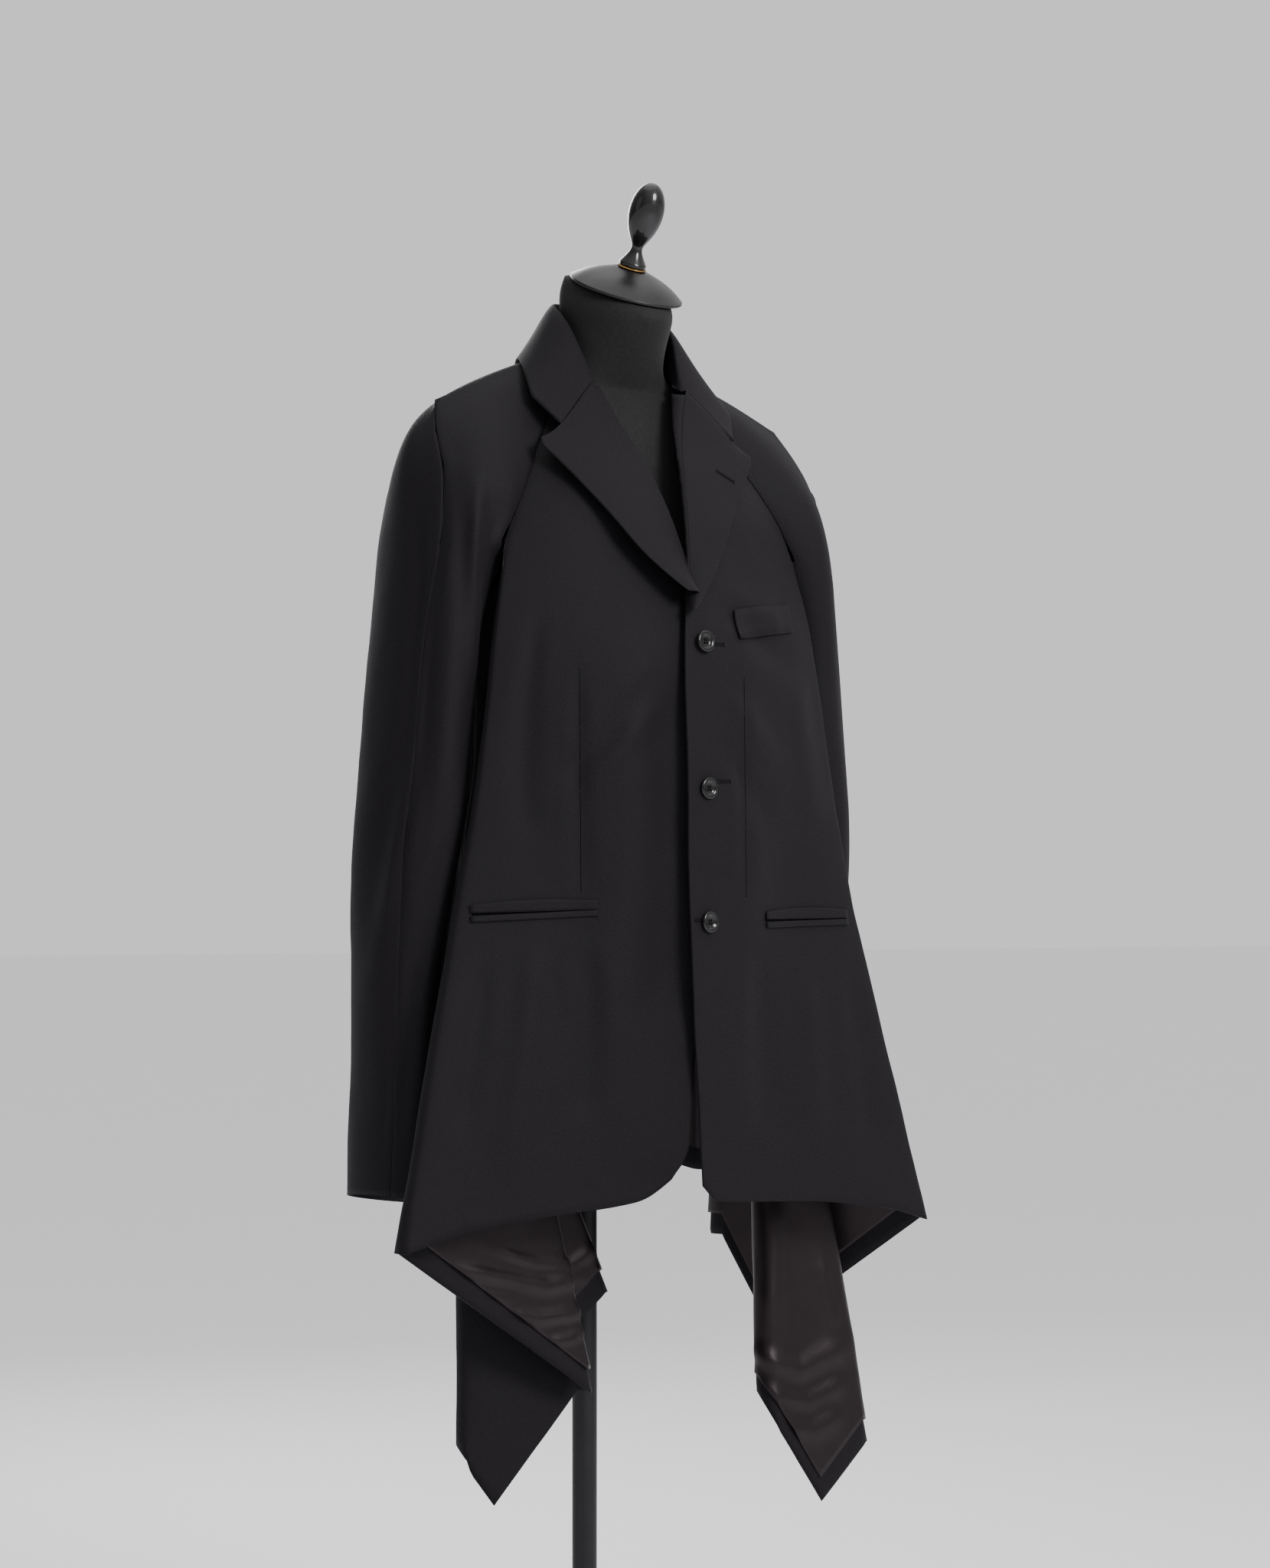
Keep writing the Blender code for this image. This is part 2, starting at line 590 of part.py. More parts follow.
def lapel(side, material):
    rows = []
    steps = 2
    columns = 6
    edge = [Vector(p) for p in LAPEL_EDGE]
    roll = [Vector(p) for p in LAPEL_ROLL]
    gorge = gorge_row(columns)
    last = len(edge) - 1
    count = last * steps
    start = LAPEL_START[side]
    for k in range(count, -1, -1):
        t = start + (last - start) * k / count
        inner = curve_through(roll, t)
        outer = curve_through(edge, t)
        lift = LAPEL_LIFT + Vector((0, LAPEL_FOOT_LIFT * (1.0 - t / last), 0))
        row = []
        for c in range(columns):
            f = c / (columns - 1)
            point = inner.lerp(outer, f)
            point.y -= LAPEL_CROWN * 4.0 * f * (1.0 - f)
            row.append(lap_shift(point + lift, side))
        rows.append(row)
    rows[0] = gorge
    return cloth("lapel_" + side, rows, side, material)


# Pieces that lie on the fronts

def point_on(grid, x, z):
    """Point and outward normal of the front's grid over own-side x and height z."""
    best = None
    for r in range(len(grid) - 1):
        for c in range(len(grid[r]) - 1):
            quad = (grid[r][c], grid[r + 1][c], grid[r + 1][c + 1], grid[r][c + 1])
            if any(p is None for p in quad):
                continue
            for a, b, d in ((quad[0], quad[1], quad[2]), (quad[0], quad[2], quad[3])):
                area = (b.x - a.x) * (d.z - a.z) - (d.x - a.x) * (b.z - a.z)
                if abs(area) < 1e-9:
                    continue
                u = ((x - a.x) * (d.z - a.z) - (d.x - a.x) * (z - a.z)) / area
                v = ((b.x - a.x) * (z - a.z) - (x - a.x) * (b.z - a.z)) / area
                if u < -0.001 or v < -0.001 or u + v > 1.001:
                    continue
                spot = a + (b - a) * u + (d - a) * v
                if best is None or spot.y < best[0].y:
                    best = (spot, (b - a).cross(d - a).normalized())
    if best is None:
        raise ValueError("no cloth at %.3f %.3f" % (x, z))
    return best


def strip_on(name, side, material, x_range, z_low, z_high, columns, lift, thick):
    """A flat strip on a front: z_low and z_high are heights at its two ends."""
    grid = front_rows(side)
    rows = []
    for k in (1.0, 0.0):
        row = []
        for c in range(columns):
            t = c / (columns - 1)
            x = x_range[0] + (x_range[1] - x_range[0]) * t
            low = z_low[0] + (z_low[1] - z_low[0]) * t
            high = z_high[0] + (z_high[1] - z_high[0]) * t
            spot, normal = point_on(grid, x, low + (high - low) * k)
            row.append(spot + normal * (lift + thick))
        rows.append(row)
    return cloth(name, rows, side, material, thick)


def pocket(side, material):
    high = [z + JET_GAP / 2 for z in POCKET_Z[side]]
    top = [z + JET_HEIGHT for z in high]
    low = [z - JET_GAP / 2 for z in POCKET_Z[side]]
    foot = [z - JET_HEIGHT for z in low]
    for name, bottom, head in (("pocket_jet_upper_", high, top), ("pocket_jet_lower_", foot, low)):
        strip_on(name + side, side, material, POCKET_X[side], bottom, head, 8, STRIP_LIFT, JET_THICK)


def turned(name, profile, segments, placing, material):
    """A closed turned solid: the profile is radius and height, bottom to top."""
    mesh = bpy.data.meshes.new(name)
    bm = bmesh.new()
    verts = [bm.verts.new((r, 0.0, h)) for r, h in profile]
    edges = [bm.edges.new((a, b)) for a, b in zip(verts, verts[1:])]
    bmesh.ops.spin(bm, geom=verts + edges, cent=(0, 0, 0), axis=(0, 0, 1), angle=2 * pi,
                   steps=segments, use_merge=True)
    bmesh.ops.remove_doubles(bm, verts=bm.verts, dist=0.00002)
    bmesh.ops.recalc_face_normals(bm, faces=bm.faces)
    bmesh.ops.transform(bm, matrix=placing, verts=bm.verts)
    bm.to_mesh(mesh)
    bm.free()
    thing = add_object(name, mesh, material)
    mesh.shade_smooth()
    mesh.set_sharp_from_angle(angle=radians(40))
    return thing


def facing(point, normal):
    """Matrix that stands a turned piece on a point, its axis along the normal."""
    return Matrix.Translation(point) @ normal.to_track_quat("Z", "Y").to_matrix().to_4x4()


def buttons(material):
    grid = front_rows("left")
    profile = ((0.0, 0.0), (0.0078, 0.0), (0.0094, 0.0010), (BUTTON_R, 0.0022), (0.0095, 0.0032),
               (0.0080, 0.0034), (0.0064, 0.0026), (0.0, 0.0024))
    for i, z in enumerate(BUTTON_Z):
        spot, normal = point_on(grid, BUTTON_X, z)
        spot.z += EYE
        placing = facing(spot + normal * 0.0006, normal)
        turned("button_%d" % (i + 1), profile, 12, placing, material)


# Dress form and stand

def neck_lean(z):
    """Share of the cap's tilt that a ring of the neck takes."""
    top = FORM_RINGS[-1][0]
    return max(0.0, (z - NECK_LEVEL) / (top - NECK_LEVEL))


def neck_rise(point):
    """Height of the cap's underside at a point, over its height in the middle."""
    normal = cap_frame().to_3x3() @ Vector((0, 0, 1))
    away = point - NECK_TOP
    return -(normal.x * away.x + normal.y * away.y) / normal.z


def form_torso(material):
    mesh = bpy.data.meshes.new("form_torso")
    bm = bmesh.new()
    segments = 24
    previous = None
    first = None
    for z, half, front, back in FORM_RINGS:
        ring = []
        for k in range(segments):
            angle = 2 * pi * k / segments
            depth = front if sin(angle) < 0 else back
            point = Vector((half * cos(angle), depth * sin(angle), z + EYE))
            point.z += neck_lean(z) * neck_rise(point)
            ring.append(bm.verts.new(point))
        if previous is None:
            first = ring
        else:
            for a in range(segments):
                b = (a + 1) % segments
                bm.faces.new((previous[a], previous[b], ring[b], ring[a]))
        previous = ring
    bm.faces.new(list(reversed(first)))
    bm.faces.new(previous)
    bmesh.ops.triangulate(bm, faces=[f for f in bm.faces if len(f.verts) > 4])
    bm.to_mesh(mesh)
    bm.free()
    mesh.shade_smooth()
    return add_object("form_torso", mesh, material)


def cap_frame():
    """Axis of the neck cap, tilted forwards and to the wearer's left."""
    tilt = Matrix.Rotation(radians(CAP_PITCH), 4, "X") @ Matrix.Rotation(radians(CAP_ROLL), 4, "Y")
    return Matrix.Translation(NECK_TOP + Vector((0, 0, EYE))) @ tilt


def neck_parts(satin, brass, lacquer):
    frame = cap_frame()
    cap = ((0.0, 0.0), (CAP_R - 0.002, 0.0), (CAP_R, 0.0015), (CAP_R, CAP_EDGE - 0.0015),
           (CAP_R - 0.002, CAP_EDGE), (CAP_R * 0.72, CAP_EDGE + 0.55 * CAP_CROWN),
           (CAP_R * 0.36, CAP_EDGE + 0.90 * CAP_CROWN), (0.016, CAP_EDGE + CAP_CROWN),
           (0.0, CAP_EDGE + CAP_CROWN))
    turned("neck_cap", cap, 20, frame, satin)
    top = CAP_EDGE + CAP_CROWN
    ring = ((0.0, 0.0), (0.0140, 0.0), (0.0150, 0.0010), (0.0140, 0.0020), (0.0, 0.0020))
    turned("finial_ring", ring, 12, frame @ Matrix.Translation((0, 0, top + SEAM)), brass)
    seat = frame @ Matrix.Translation((0, 0, top + 2 * SEAM + 0.0020))
    turned("finial", FINIAL_PROFILE, 12, seat, lacquer)


def stand(material):
    top = FORM_RINGS[0][0] + EYE - SEAM
    foot = BASE_EDGE + BASE_CROWN + SEAM
    pole = ((0.0, 0.0), (POLE_R, 0.0), (POLE_R, top - foot), (0.0, top - foot))
    turned("pole", pole, 12, Matrix.Translation((0, POLE_Y, foot)), material)
    base = ((0.0, 0.0), (BASE_R - 0.002, 0.0), (BASE_R, 0.002), (BASE_R, BASE_EDGE),
            (BASE_R - 0.004, BASE_EDGE + 0.002), (0.045, BASE_EDGE + 0.010),
            (0.024, BASE_EDGE + BASE_CROWN), (0.0, BASE_EDGE + BASE_CROWN))
    turned("base", base, 28, Matrix.Translation((0, POLE_Y, 0)), material)


def main():
    clear_scene()
    wool = finish("black wool crepe", WOOL_BLACK, 0.75)
    satin = finish("brown black satin lining", SATIN_BROWN, 0.35)
    jersey = finish("black jersey", JERSEY_BLACK, 0.85)
    lacquer = finish("black lacquer", LACQUER_BLACK, 0.08)
    steel = finish("black painted steel", STEEL_BLACK, 0.35)
    brass = finish("aged brass", (0.25, 0.17, 0.08), 0.3, 1.0)
    for side in SIDES:
        cloth("front_" + side, front_rows(side), side, wool)
        cloth("back_" + side, back_rows(side), side, wool)
        for which in ("front", "back"):
            sleeve(which, side, wool)
        lapel(side, wool)
        pocket(side, wool)
        tail_lining(side, satin)
    collar(wool)
    welt_top = [z + WELT_HEIGHT for z in WELT_Z]
    strip_on("chest_welt", "left", wool, WELT_X, WELT_Z, welt_top, 16, STRIP_LIFT, JET_THICK)
    buttons(lacquer)
    form_torso(jersey)
    neck_parts(satin, brass, lacquer)
    stand(steel)


main()
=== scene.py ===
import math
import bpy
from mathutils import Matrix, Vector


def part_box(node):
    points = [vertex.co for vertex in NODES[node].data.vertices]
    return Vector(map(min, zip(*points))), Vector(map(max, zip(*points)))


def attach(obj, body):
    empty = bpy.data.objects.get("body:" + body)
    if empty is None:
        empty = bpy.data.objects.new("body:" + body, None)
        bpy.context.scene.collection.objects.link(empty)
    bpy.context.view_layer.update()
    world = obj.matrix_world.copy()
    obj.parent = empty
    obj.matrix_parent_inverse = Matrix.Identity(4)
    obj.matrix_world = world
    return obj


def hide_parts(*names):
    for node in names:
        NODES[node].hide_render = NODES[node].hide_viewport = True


bl_info = {
    "name": "Draped Hem Blazer",
    "version": (1, 0, 0),
    "blender": (4, 5, 0),
    "location": "3D View > Sidebar > Blazer",
    "description": "Finishes the draped hem blazer and the dress form that it rests on",
    "category": "Add Mesh",
}

import bmesh
import bpy
import numpy as np
from mathutils import Matrix, Vector, noise
from mathutils.bvhtree import BVHTree
from mathutils.kdtree import KDTree

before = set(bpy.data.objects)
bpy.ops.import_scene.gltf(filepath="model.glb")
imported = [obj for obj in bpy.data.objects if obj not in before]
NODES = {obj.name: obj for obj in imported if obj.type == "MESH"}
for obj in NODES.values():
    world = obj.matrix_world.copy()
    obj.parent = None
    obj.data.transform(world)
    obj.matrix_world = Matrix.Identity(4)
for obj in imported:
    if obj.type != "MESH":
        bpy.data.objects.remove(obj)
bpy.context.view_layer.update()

# The photograph's view: an upright camera at eye level that looks at the form's middle
VIEW_TURN = math.radians(33.0)     # towards the wearer's right
VIEW_DISTANCE = 3.2
EYE_HEIGHT = 0.89
VIEW_RIGHT = Vector((math.cos(VIEW_TURN), -math.sin(VIEW_TURN), 0.0))
CAMERA_SPOT = Vector((-math.sin(VIEW_TURN) * VIEW_DISTANCE, -math.cos(VIEW_TURN) * VIEW_DISTANCE,
                      EYE_HEIGHT))
PHOTO_SIZE = (1659, 2048)
PHOTO_SCALE = 1375.0               # pixels in a metre at the form's middle
PHOTO_ORIGIN = (797.0, 1190.0)     # pixel of the point at eye level on the form's axis
SENSOR = 36.0
MM = 0.001

MERGE = 0.000003                   # doubles in a node's mesh lie closer than this
SEAM_REACH = 0.0025                # a sheet's edge this near another piece is a seam
SEAM_FADE = 0.014                  # creases die out over this width beside a seam
GROOVE_DEPTH = 0.0009              # of the groove that a seam draws in the cloth
GROOVE_WIDTH = 0.0032
CLOTH_LEVELS = 3                   # subdivision levels of the wool panels


def paint(code):
    """A hex sRGB colour as linear red, green and blue."""
    parts = [int(code[i:i + 2], 16) / 255.0 for i in (1, 3, 5)]
    return tuple(c / 12.92 if c <= 0.04045 else ((c + 0.055) / 1.055) ** 2.4 for c in parts)


class BlazerCloth(bpy.types.PropertyGroup):
    """Sizes and colours of the blazer's cloth."""

    wool_colour: bpy.props.FloatVectorProperty(
        name="Wool", description="Colour of the wool crepe", subtype="COLOR", size=3,
        min=0.0, max=1.0, default=paint("#100d11"))
    lining_colour: bpy.props.FloatVectorProperty(
        name="Lining", description="Colour of the satin lining", subtype="COLOR", size=3,
        min=0.0, max=1.0, default=paint("#0e0a0b"))
    wool_thickness: bpy.props.FloatProperty(
        name="Wool thickness", description="Thickness of the wool with its interlining",
        default=0.0016, min=0.001, max=0.003, unit="LENGTH")
    lining_thickness: bpy.props.FloatProperty(
        name="Lining thickness", description="Thickness of the tails' lining",
        default=0.0010, min=0.001, max=0.002, unit="LENGTH")
    hem_band: bpy.props.FloatProperty(
        name="Hem facing", description="Depth of the wool turned up inside hems and cuffs",
        default=0.022, min=0.010, max=0.040, unit="LENGTH")
    thread_spacing: bpy.props.FloatProperty(
        name="Thread spacing", description="Distance between two threads of the weave",
        default=0.0014, min=0.0004, max=0.004, unit="LENGTH")


class BlazerTrim(bpy.types.PropertyGroup):
    """Colours of the buttons, the dress form, its stand and the floor."""

    button_colour: bpy.props.FloatVectorProperty(
        name="Buttons", description="Colour of the polyester buttons", subtype="COLOR", size=3,
        min=0.0, max=1.0, default=paint("#0a0a0b"))
    jersey_colour: bpy.props.FloatVectorProperty(
        name="Form cover", description="Colour of the dress form's jersey", subtype="COLOR",
        size=3, min=0.0, max=1.0, default=paint("#1a191a"))
    steel_colour: bpy.props.FloatVectorProperty(
        name="Stand", description="Colour of the painted stand", subtype="COLOR", size=3,
        min=0.0, max=1.0, default=paint("#19191b"))
    floor_colour: bpy.props.FloatVectorProperty(
        name="Floor", description="Colour of the plain floor", subtype="COLOR", size=3,
        min=0.0, max=1.0, default=paint("#f2f0f4"))


# Materials. The weave's threads, the floats and the wales are drawn at twice their real spacing
# or more, because finer ones don't show in the render

def add_node(tree, kind, inputs=(), **settings):
    """Adds a node with its settings, and sets or links its inputs."""
    node = tree.nodes.new(kind)
    for name, value in settings.items():
        setattr(node, name, value)
    for socket, value in dict(inputs).items():
        if isinstance(value, bpy.types.NodeSocket):
            tree.links.new(value, node.inputs[socket])
        else:
            node.inputs[socket].default_value = value
    return node


def band_scale(spacing):
    """Scale of a Wave texture whose bands lie this many metres apart."""
    return math.tau / (20.0 * spacing)


def shade(colour, factor):
    return tuple(min(1.0, c * factor) for c in colour) + (1.0,)


def speckle(tree, coordinates, colour, low, high, size):
    """The colour, varied softly between two brightnesses over patches of this size."""
    patches = add_node(tree, "ShaderNodeTexNoise",
                       {"Vector": coordinates, "Scale": 1.0 / size, "Detail": 4.0})
    ramp = add_node(tree, "ShaderNodeMapRange",
                    {"Value": patches.outputs["Fac"], "From Min": 0.35, "From Max": 0.65})
    return add_node(tree, "ShaderNodeMix",
                    {0: ramp.outputs["Result"], 6: shade(colour, low), 7: shade(colour, high)},
                    data_type="RGBA").outputs[2]


def weave_height(tree, coordinates, spacing):
    """Height of a plain weave: warp and weft bands that cross, roughened by the fibres."""
    scale = band_scale(spacing)
    warp = add_node(tree, "ShaderNodeTexWave",
                    {"Vector": coordinates, "Scale": scale, "Distortion": 1.2, "Detail": 2.0},
                    bands_direction="X")
    weft = add_node(tree, "ShaderNodeTexWave",
                    {"Vector": coordinates, "Scale": scale, "Distortion": 1.2, "Detail": 2.0},
                    bands_direction="Y")
    cross = add_node(tree, "ShaderNodeMath",
                     {0: warp.outputs["Fac"], 1: weft.outputs["Fac"]}, operation="MULTIPLY")
    fibres = add_node(tree, "ShaderNodeTexNoise",
                      {"Vector": coordinates, "Scale": 0.6 / spacing, "Detail": 5.0})
    return add_node(tree, "ShaderNodeMath",
                    {0: cross.outputs[0], 1: fibres.outputs["Fac"]}, operation="ADD").outputs[0]


def wool_crepe(tree, uv):
    """Worsted wool crepe, woven and pressed: matte, with a faint bloom from its fibres."""
    cloth = bpy.context.scene.blazer_cloth
    colour = speckle(tree, uv, tuple(cloth.wool_colour), 0.80, 1.25, 0.0022)
    bump = add_node(tree, "ShaderNodeBump",
                    {"Height": weave_height(tree, uv, cloth.thread_spacing),
                     "Strength": 0.35, "Distance": 0.0004})
    return add_node(tree, "ShaderNodeBsdfPrincipled",
                    {"Base Color": colour, "Roughness": 0.70, "Normal": bump.outputs["Normal"],
                     "Specular IOR Level": 0.14, "Sheen Weight": 0.03, "Sheen Roughness": 0.45,
                     "Sheen Tint": (0.62, 0.58, 0.66, 1.0)})


def satin_lining(tree, uv):
    """Viscose satin lining, calendered: a soft brownish sheen along its long floats."""
    lining = tuple(bpy.context.scene.blazer_cloth.lining_colour)
    colour = speckle(tree, uv, lining, 0.85, 1.15, 0.012)
    floats = add_node(tree, "ShaderNodeTexWave",
                      {"Vector": uv, "Scale": band_scale(0.0009), "Distortion": 0.6},
                      bands_direction="X")
    bump = add_node(tree, "ShaderNodeBump",
                    {"Height": floats.outputs["Fac"], "Strength": 0.12, "Distance": 0.0002})
    return add_node(tree, "ShaderNodeBsdfPrincipled",
                    {"Base Color": colour, "Roughness": 0.42, "Normal": bump.outputs["Normal"],
                     "Specular IOR Level": 0.27, "Specular Tint": (1.0, 0.86, 0.90, 1.0)})


def faced_lining(tree, uv):
    """Inside of a panel: lining, with wool turned up as a facing along its hem."""
    depth = add_node(tree, "ShaderNodeAttribute", attribute_name="hem")
    inside = add_node(tree, "ShaderNodeMath",
                      {0: depth.outputs["Fac"], 1: bpy.context.scene.blazer_cloth.hem_band},
                      operation="GREATER_THAN")
    return add_node(tree, "ShaderNodeMixShader",
                    {0: inside.outputs[0], 1: wool_crepe(tree, uv).outputs[0],
                     2: satin_lining(tree, uv).outputs[0]})


def polyester_button(tree, place):
    """Cast polyester, tumbled and polished: a hard wet gloss with faint swirls."""
    button = tuple(bpy.context.scene.blazer_trim.button_colour)
    return add_node(tree, "ShaderNodeBsdfPrincipled",
                    {"Base Color": speckle(tree, place, button, 0.7, 1.4, 0.004),
                     "Roughness": 0.20, "Specular IOR Level": 0.30, "Coat Weight": 0.25,
                     "Coat Roughness": 0.05})


def spun_thread(tree, place):
    """Spun polyester thread: matte, twisted, a little lighter than the cloth."""
    twist = add_node(tree, "ShaderNodeTexWave",
                     {"Vector": place, "Scale": band_scale(0.0005)}, bands_direction="DIAGONAL")
    bump = add_node(tree, "ShaderNodeBump",
                    {"Height": twist.outputs["Fac"], "Strength": 0.5, "Distance": 0.0001})
    return add_node(tree, "ShaderNodeBsdfPrincipled",
                    {"Base Color": (*paint("#100e10"), 1.0), "Roughness": 0.6,
                     "Normal": bump.outputs["Normal"], "Specular IOR Level": 0.12})


def painted_shade_black(tree, place):
    """Painted shade: near-black and matte, for the shade in a pocket's mouth and along a dart's
    seam; it hardly returns any light.
    """
    return add_node(tree, "ShaderNodeBsdfPrincipled",
                    {"Base Color": speckle(tree, place, paint("#060506"), 0.8, 1.2, 0.002),
                     "Roughness": 0.9, "Specular IOR Level": 0.05})


def cotton_jersey(tree, place):
    """Knitted cotton stretched over the form: matte, with fine upright wales."""
    jersey = tuple(bpy.context.scene.blazer_trim.jersey_colour)
    wales = add_node(tree, "ShaderNodeTexWave",
                     {"Vector": place, "Scale": band_scale(0.0016), "Distortion": 0.8},
                     bands_direction="X")
    bump = add_node(tree, "ShaderNodeBump",
                    {"Height": wales.outputs["Fac"], "Strength": 0.25, "Distance": 0.0003})
    return add_node(tree, "ShaderNodeBsdfPrincipled",
                    {"Base Color": speckle(tree, place, jersey, 0.85, 1.2, 0.003),
                     "Roughness": 0.82, "Normal": bump.outputs["Normal"],
                     "Specular IOR Level": 0.2, "Sheen Weight": 0.04, "Sheen Roughness": 0.5})


def duchess_satin(tree, place):
    """Duchess satin drawn over the neck cap: smooth, with a broad soft highlight."""
    floats = add_node(tree, "ShaderNodeTexWave",
                      {"Vector": place, "Scale": band_scale(0.0010), "Distortion": 0.5},
                      bands_direction="X")
    bump = add_node(tree, "ShaderNodeBump",
                    {"Height": floats.outputs["Fac"], "Strength": 0.10, "Distance": 0.0002})
    return add_node(tree, "ShaderNodeBsdfPrincipled",
                    {"Base Color": speckle(tree, place, paint("#131214"), 0.85, 1.2, 0.006),
                     "Roughness": 0.34, "Normal": bump.outputs["Normal"],
                     "Specular IOR Level": 0.35})


def lacquered_beech(tree, place):
    """Turned beech under black lacquer: deep black with a mirror-smooth clear coat."""
    return add_node(tree, "ShaderNodeBsdfPrincipled",
                    {"Base Color": speckle(tree, place, paint("#0c0b0c"), 0.8, 1.3, 0.010),
                     "Roughness": 0.30, "Specular IOR Level": 0.2, "Coat Weight": 0.6,
                     "Coat Roughness": 0.04})


def aged_brass(tree, place):
    """Turned brass, dulled by handling: warm, with darker tarnish in patches."""
    return add_node(tree, "ShaderNodeBsdfPrincipled",
                    {"Base Color": speckle(tree, place, paint("#9a7a48"), 0.45, 1.0, 0.004),
                     "Roughness": 0.34, "Metallic": 1.0})


PEEL = 700.0                       # ripples of orange peel in a metre


def powder_coated_steel(tree, place):
    """Powder-coated steel: satin black with a fine orange-peel texture."""
    steel = tuple(bpy.context.scene.blazer_trim.steel_colour)
    peel = add_node(tree, "ShaderNodeTexNoise", {"Vector": place, "Scale": PEEL, "Detail": 2.0})
    bump = add_node(tree, "ShaderNodeBump",
                    {"Height": peel.outputs["Fac"], "Strength": 0.15, "Distance": 0.0002})
    return add_node(tree, "ShaderNodeBsdfPrincipled",
                    {"Base Color": speckle(tree, place, steel, 0.9, 1.1, 0.020),
                     "Roughness": 0.50, "Normal": bump.outputs["Normal"],
                     "Specular IOR Level": 0.22})


def seamless_paper(tree, place):
    """Matte seamless paper, plain and pale."""
    floor = tuple(bpy.context.scene.blazer_trim.floor_colour)
    return add_node(tree, "ShaderNodeBsdfPrincipled",
                    {"Base Color": speckle(tree, place, floor, 0.995, 1.0, 0.5),
                     "Roughness": 0.95, "Specular IOR Level": 0.1})


# The "shadow" finish is painted shade, for dark sheets and lines laid where the cloth is in shade
FINISHES = {"wool": wool_crepe, "lining": satin_lining, "faced": faced_lining,
            "button": polyester_button, "thread": spun_thread, "shadow": painted_shade_black,
            "jersey": cotton_jersey, "satin": duchess_satin, "lacquer": lacquered_beech,
            "brass": aged_brass, "steel": powder_coated_steel, "floor": seamless_paper}
ON_SHEETS = ("wool", "lining", "faced")  # these read the sheet's own UV map, in metres
MADE = {}


def finish_of(key):
    """The material of this kind, made once and named for what the real one is, or for the painted
    shade that it stands for.
    """
    if key not in MADE:
        surface = FINISHES[key]
        material = bpy.data.materials.new(surface.__name__)
        material.use_nodes = True
        tree = material.node_tree
        tree.nodes.clear()
        if key in ON_SHEETS:
            place = add_node(tree, "ShaderNodeUVMap", uv_map="cloth").outputs["UV"]
        else:
            place = add_node(tree, "ShaderNodeTexCoord").outputs["Object"]
        shader = surface(tree, place).outputs[0]
        add_node(tree, "ShaderNodeOutputMaterial", {"Surface": shader})
        MADE[key] = material
    return MADE[key]


# Objects

def new_object(name, data):
    """A new object with this data, in the scene."""
    thing = bpy.data.objects.new(name, data)
    bpy.context.scene.collection.objects.link(thing)
    return thing


def object_of(name, bm, finish):
    """A smooth object made of this bmesh, in one finish."""
    mesh = bpy.data.meshes.new(name)
    bm.to_mesh(mesh)
    bm.free()
    mesh.shade_smooth()
    mesh.materials.append(finish_of(finish))
    return new_object(name, mesh)


def stand_for(piece, node):
    """Puts a finished piece in the place of its node."""
    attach(piece, "root")
    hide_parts(node)


def fill_grid(bm, grid):
    """Fills a grid of vertices with quads."""
    for one, other in zip(grid[:-1], grid[1:]):
        for k in range(len(one) - 1):
            bm.faces.new((one[k], one[k + 1], other[k + 1], other[k]))


# Cloth taken from the frame's walls

def merged_copy(name):
    """A bmesh of a node with its doubles merged."""
    bm = bmesh.new()
    bm.from_mesh(NODES[name].data)
    bmesh.ops.remove_doubles(bm, verts=bm.verts, dist=MERGE)
    bm.faces.ensure_lookup_table()
    bm.faces.index_update()
    return bm


def narrow_side(face):
    return 2.0 * face.calc_area() / max(edge.calc_length() for edge in face.edges)


RAY_START = 0.00001                # rays through the wall start this far under their face
WALL_REACH = 1.5                   # and look this many thicknesses deep for its other side
RIM_WIDTH = 2.2                    # a rim's faces are narrower than this many thicknesses
OPPOSITE = -0.7                    # the two sides' normals have a smaller cosine than this
WALL_TURN = math.radians(50)       # a side of the wall doesn't turn more sharply than this


def face_signs(bm, wall, turn_limit):
    """+1 or -1 for each vertex, one sign on each side of the cloth wall."""
    tree = BVHTree.FromBMesh(bm)
    links = [[] for _ in bm.faces]
    rim = set()
    opposite = {}
    for face in bm.faces:
        start = face.calc_center_median() - face.normal * RAY_START
        spot, _, other, _ = tree.ray_cast(start, -face.normal, wall * WALL_REACH)
        if spot is None:
            if narrow_side(face) < wall * RIM_WIDTH:
                rim.add(face.index)
        elif bm.faces[other].normal.dot(face.normal) < OPPOSITE:
            opposite[face.index] = other
    for one, other in opposite.items():
        if one not in rim and other not in rim:
            links[one].append((other, -1))
            links[other].append((one, -1))
    for edge in bm.edges:
        if len(edge.link_faces) != 2 or edge.calc_face_angle() > turn_limit:
            continue
        one, other = (face.index for face in edge.link_faces)
        if one not in rim and other not in rim:
            links[one].append((other, 1))
            links[other].append((one, 1))
    seed = max(opposite, key=lambda i: bm.faces[i].calc_area())
    sign = {seed: 1}
    queue = [seed]
    while queue:
        one = queue.pop()
        for other, kept in links[one]:
            if other not in sign:
                sign[other] = kept * sign[one]
                queue.append(other)
    votes = {vert: 0 for vert in bm.verts}
    for face in bm.faces:
        for vert in face.verts:
            votes[vert] += sign.get(face.index, 0)
    for vert in [v for v in bm.verts if votes[v] == 0]:
        votes[vert] = sum(votes[edge.other_vert(vert)] for edge in vert.link_edges)
    return votes


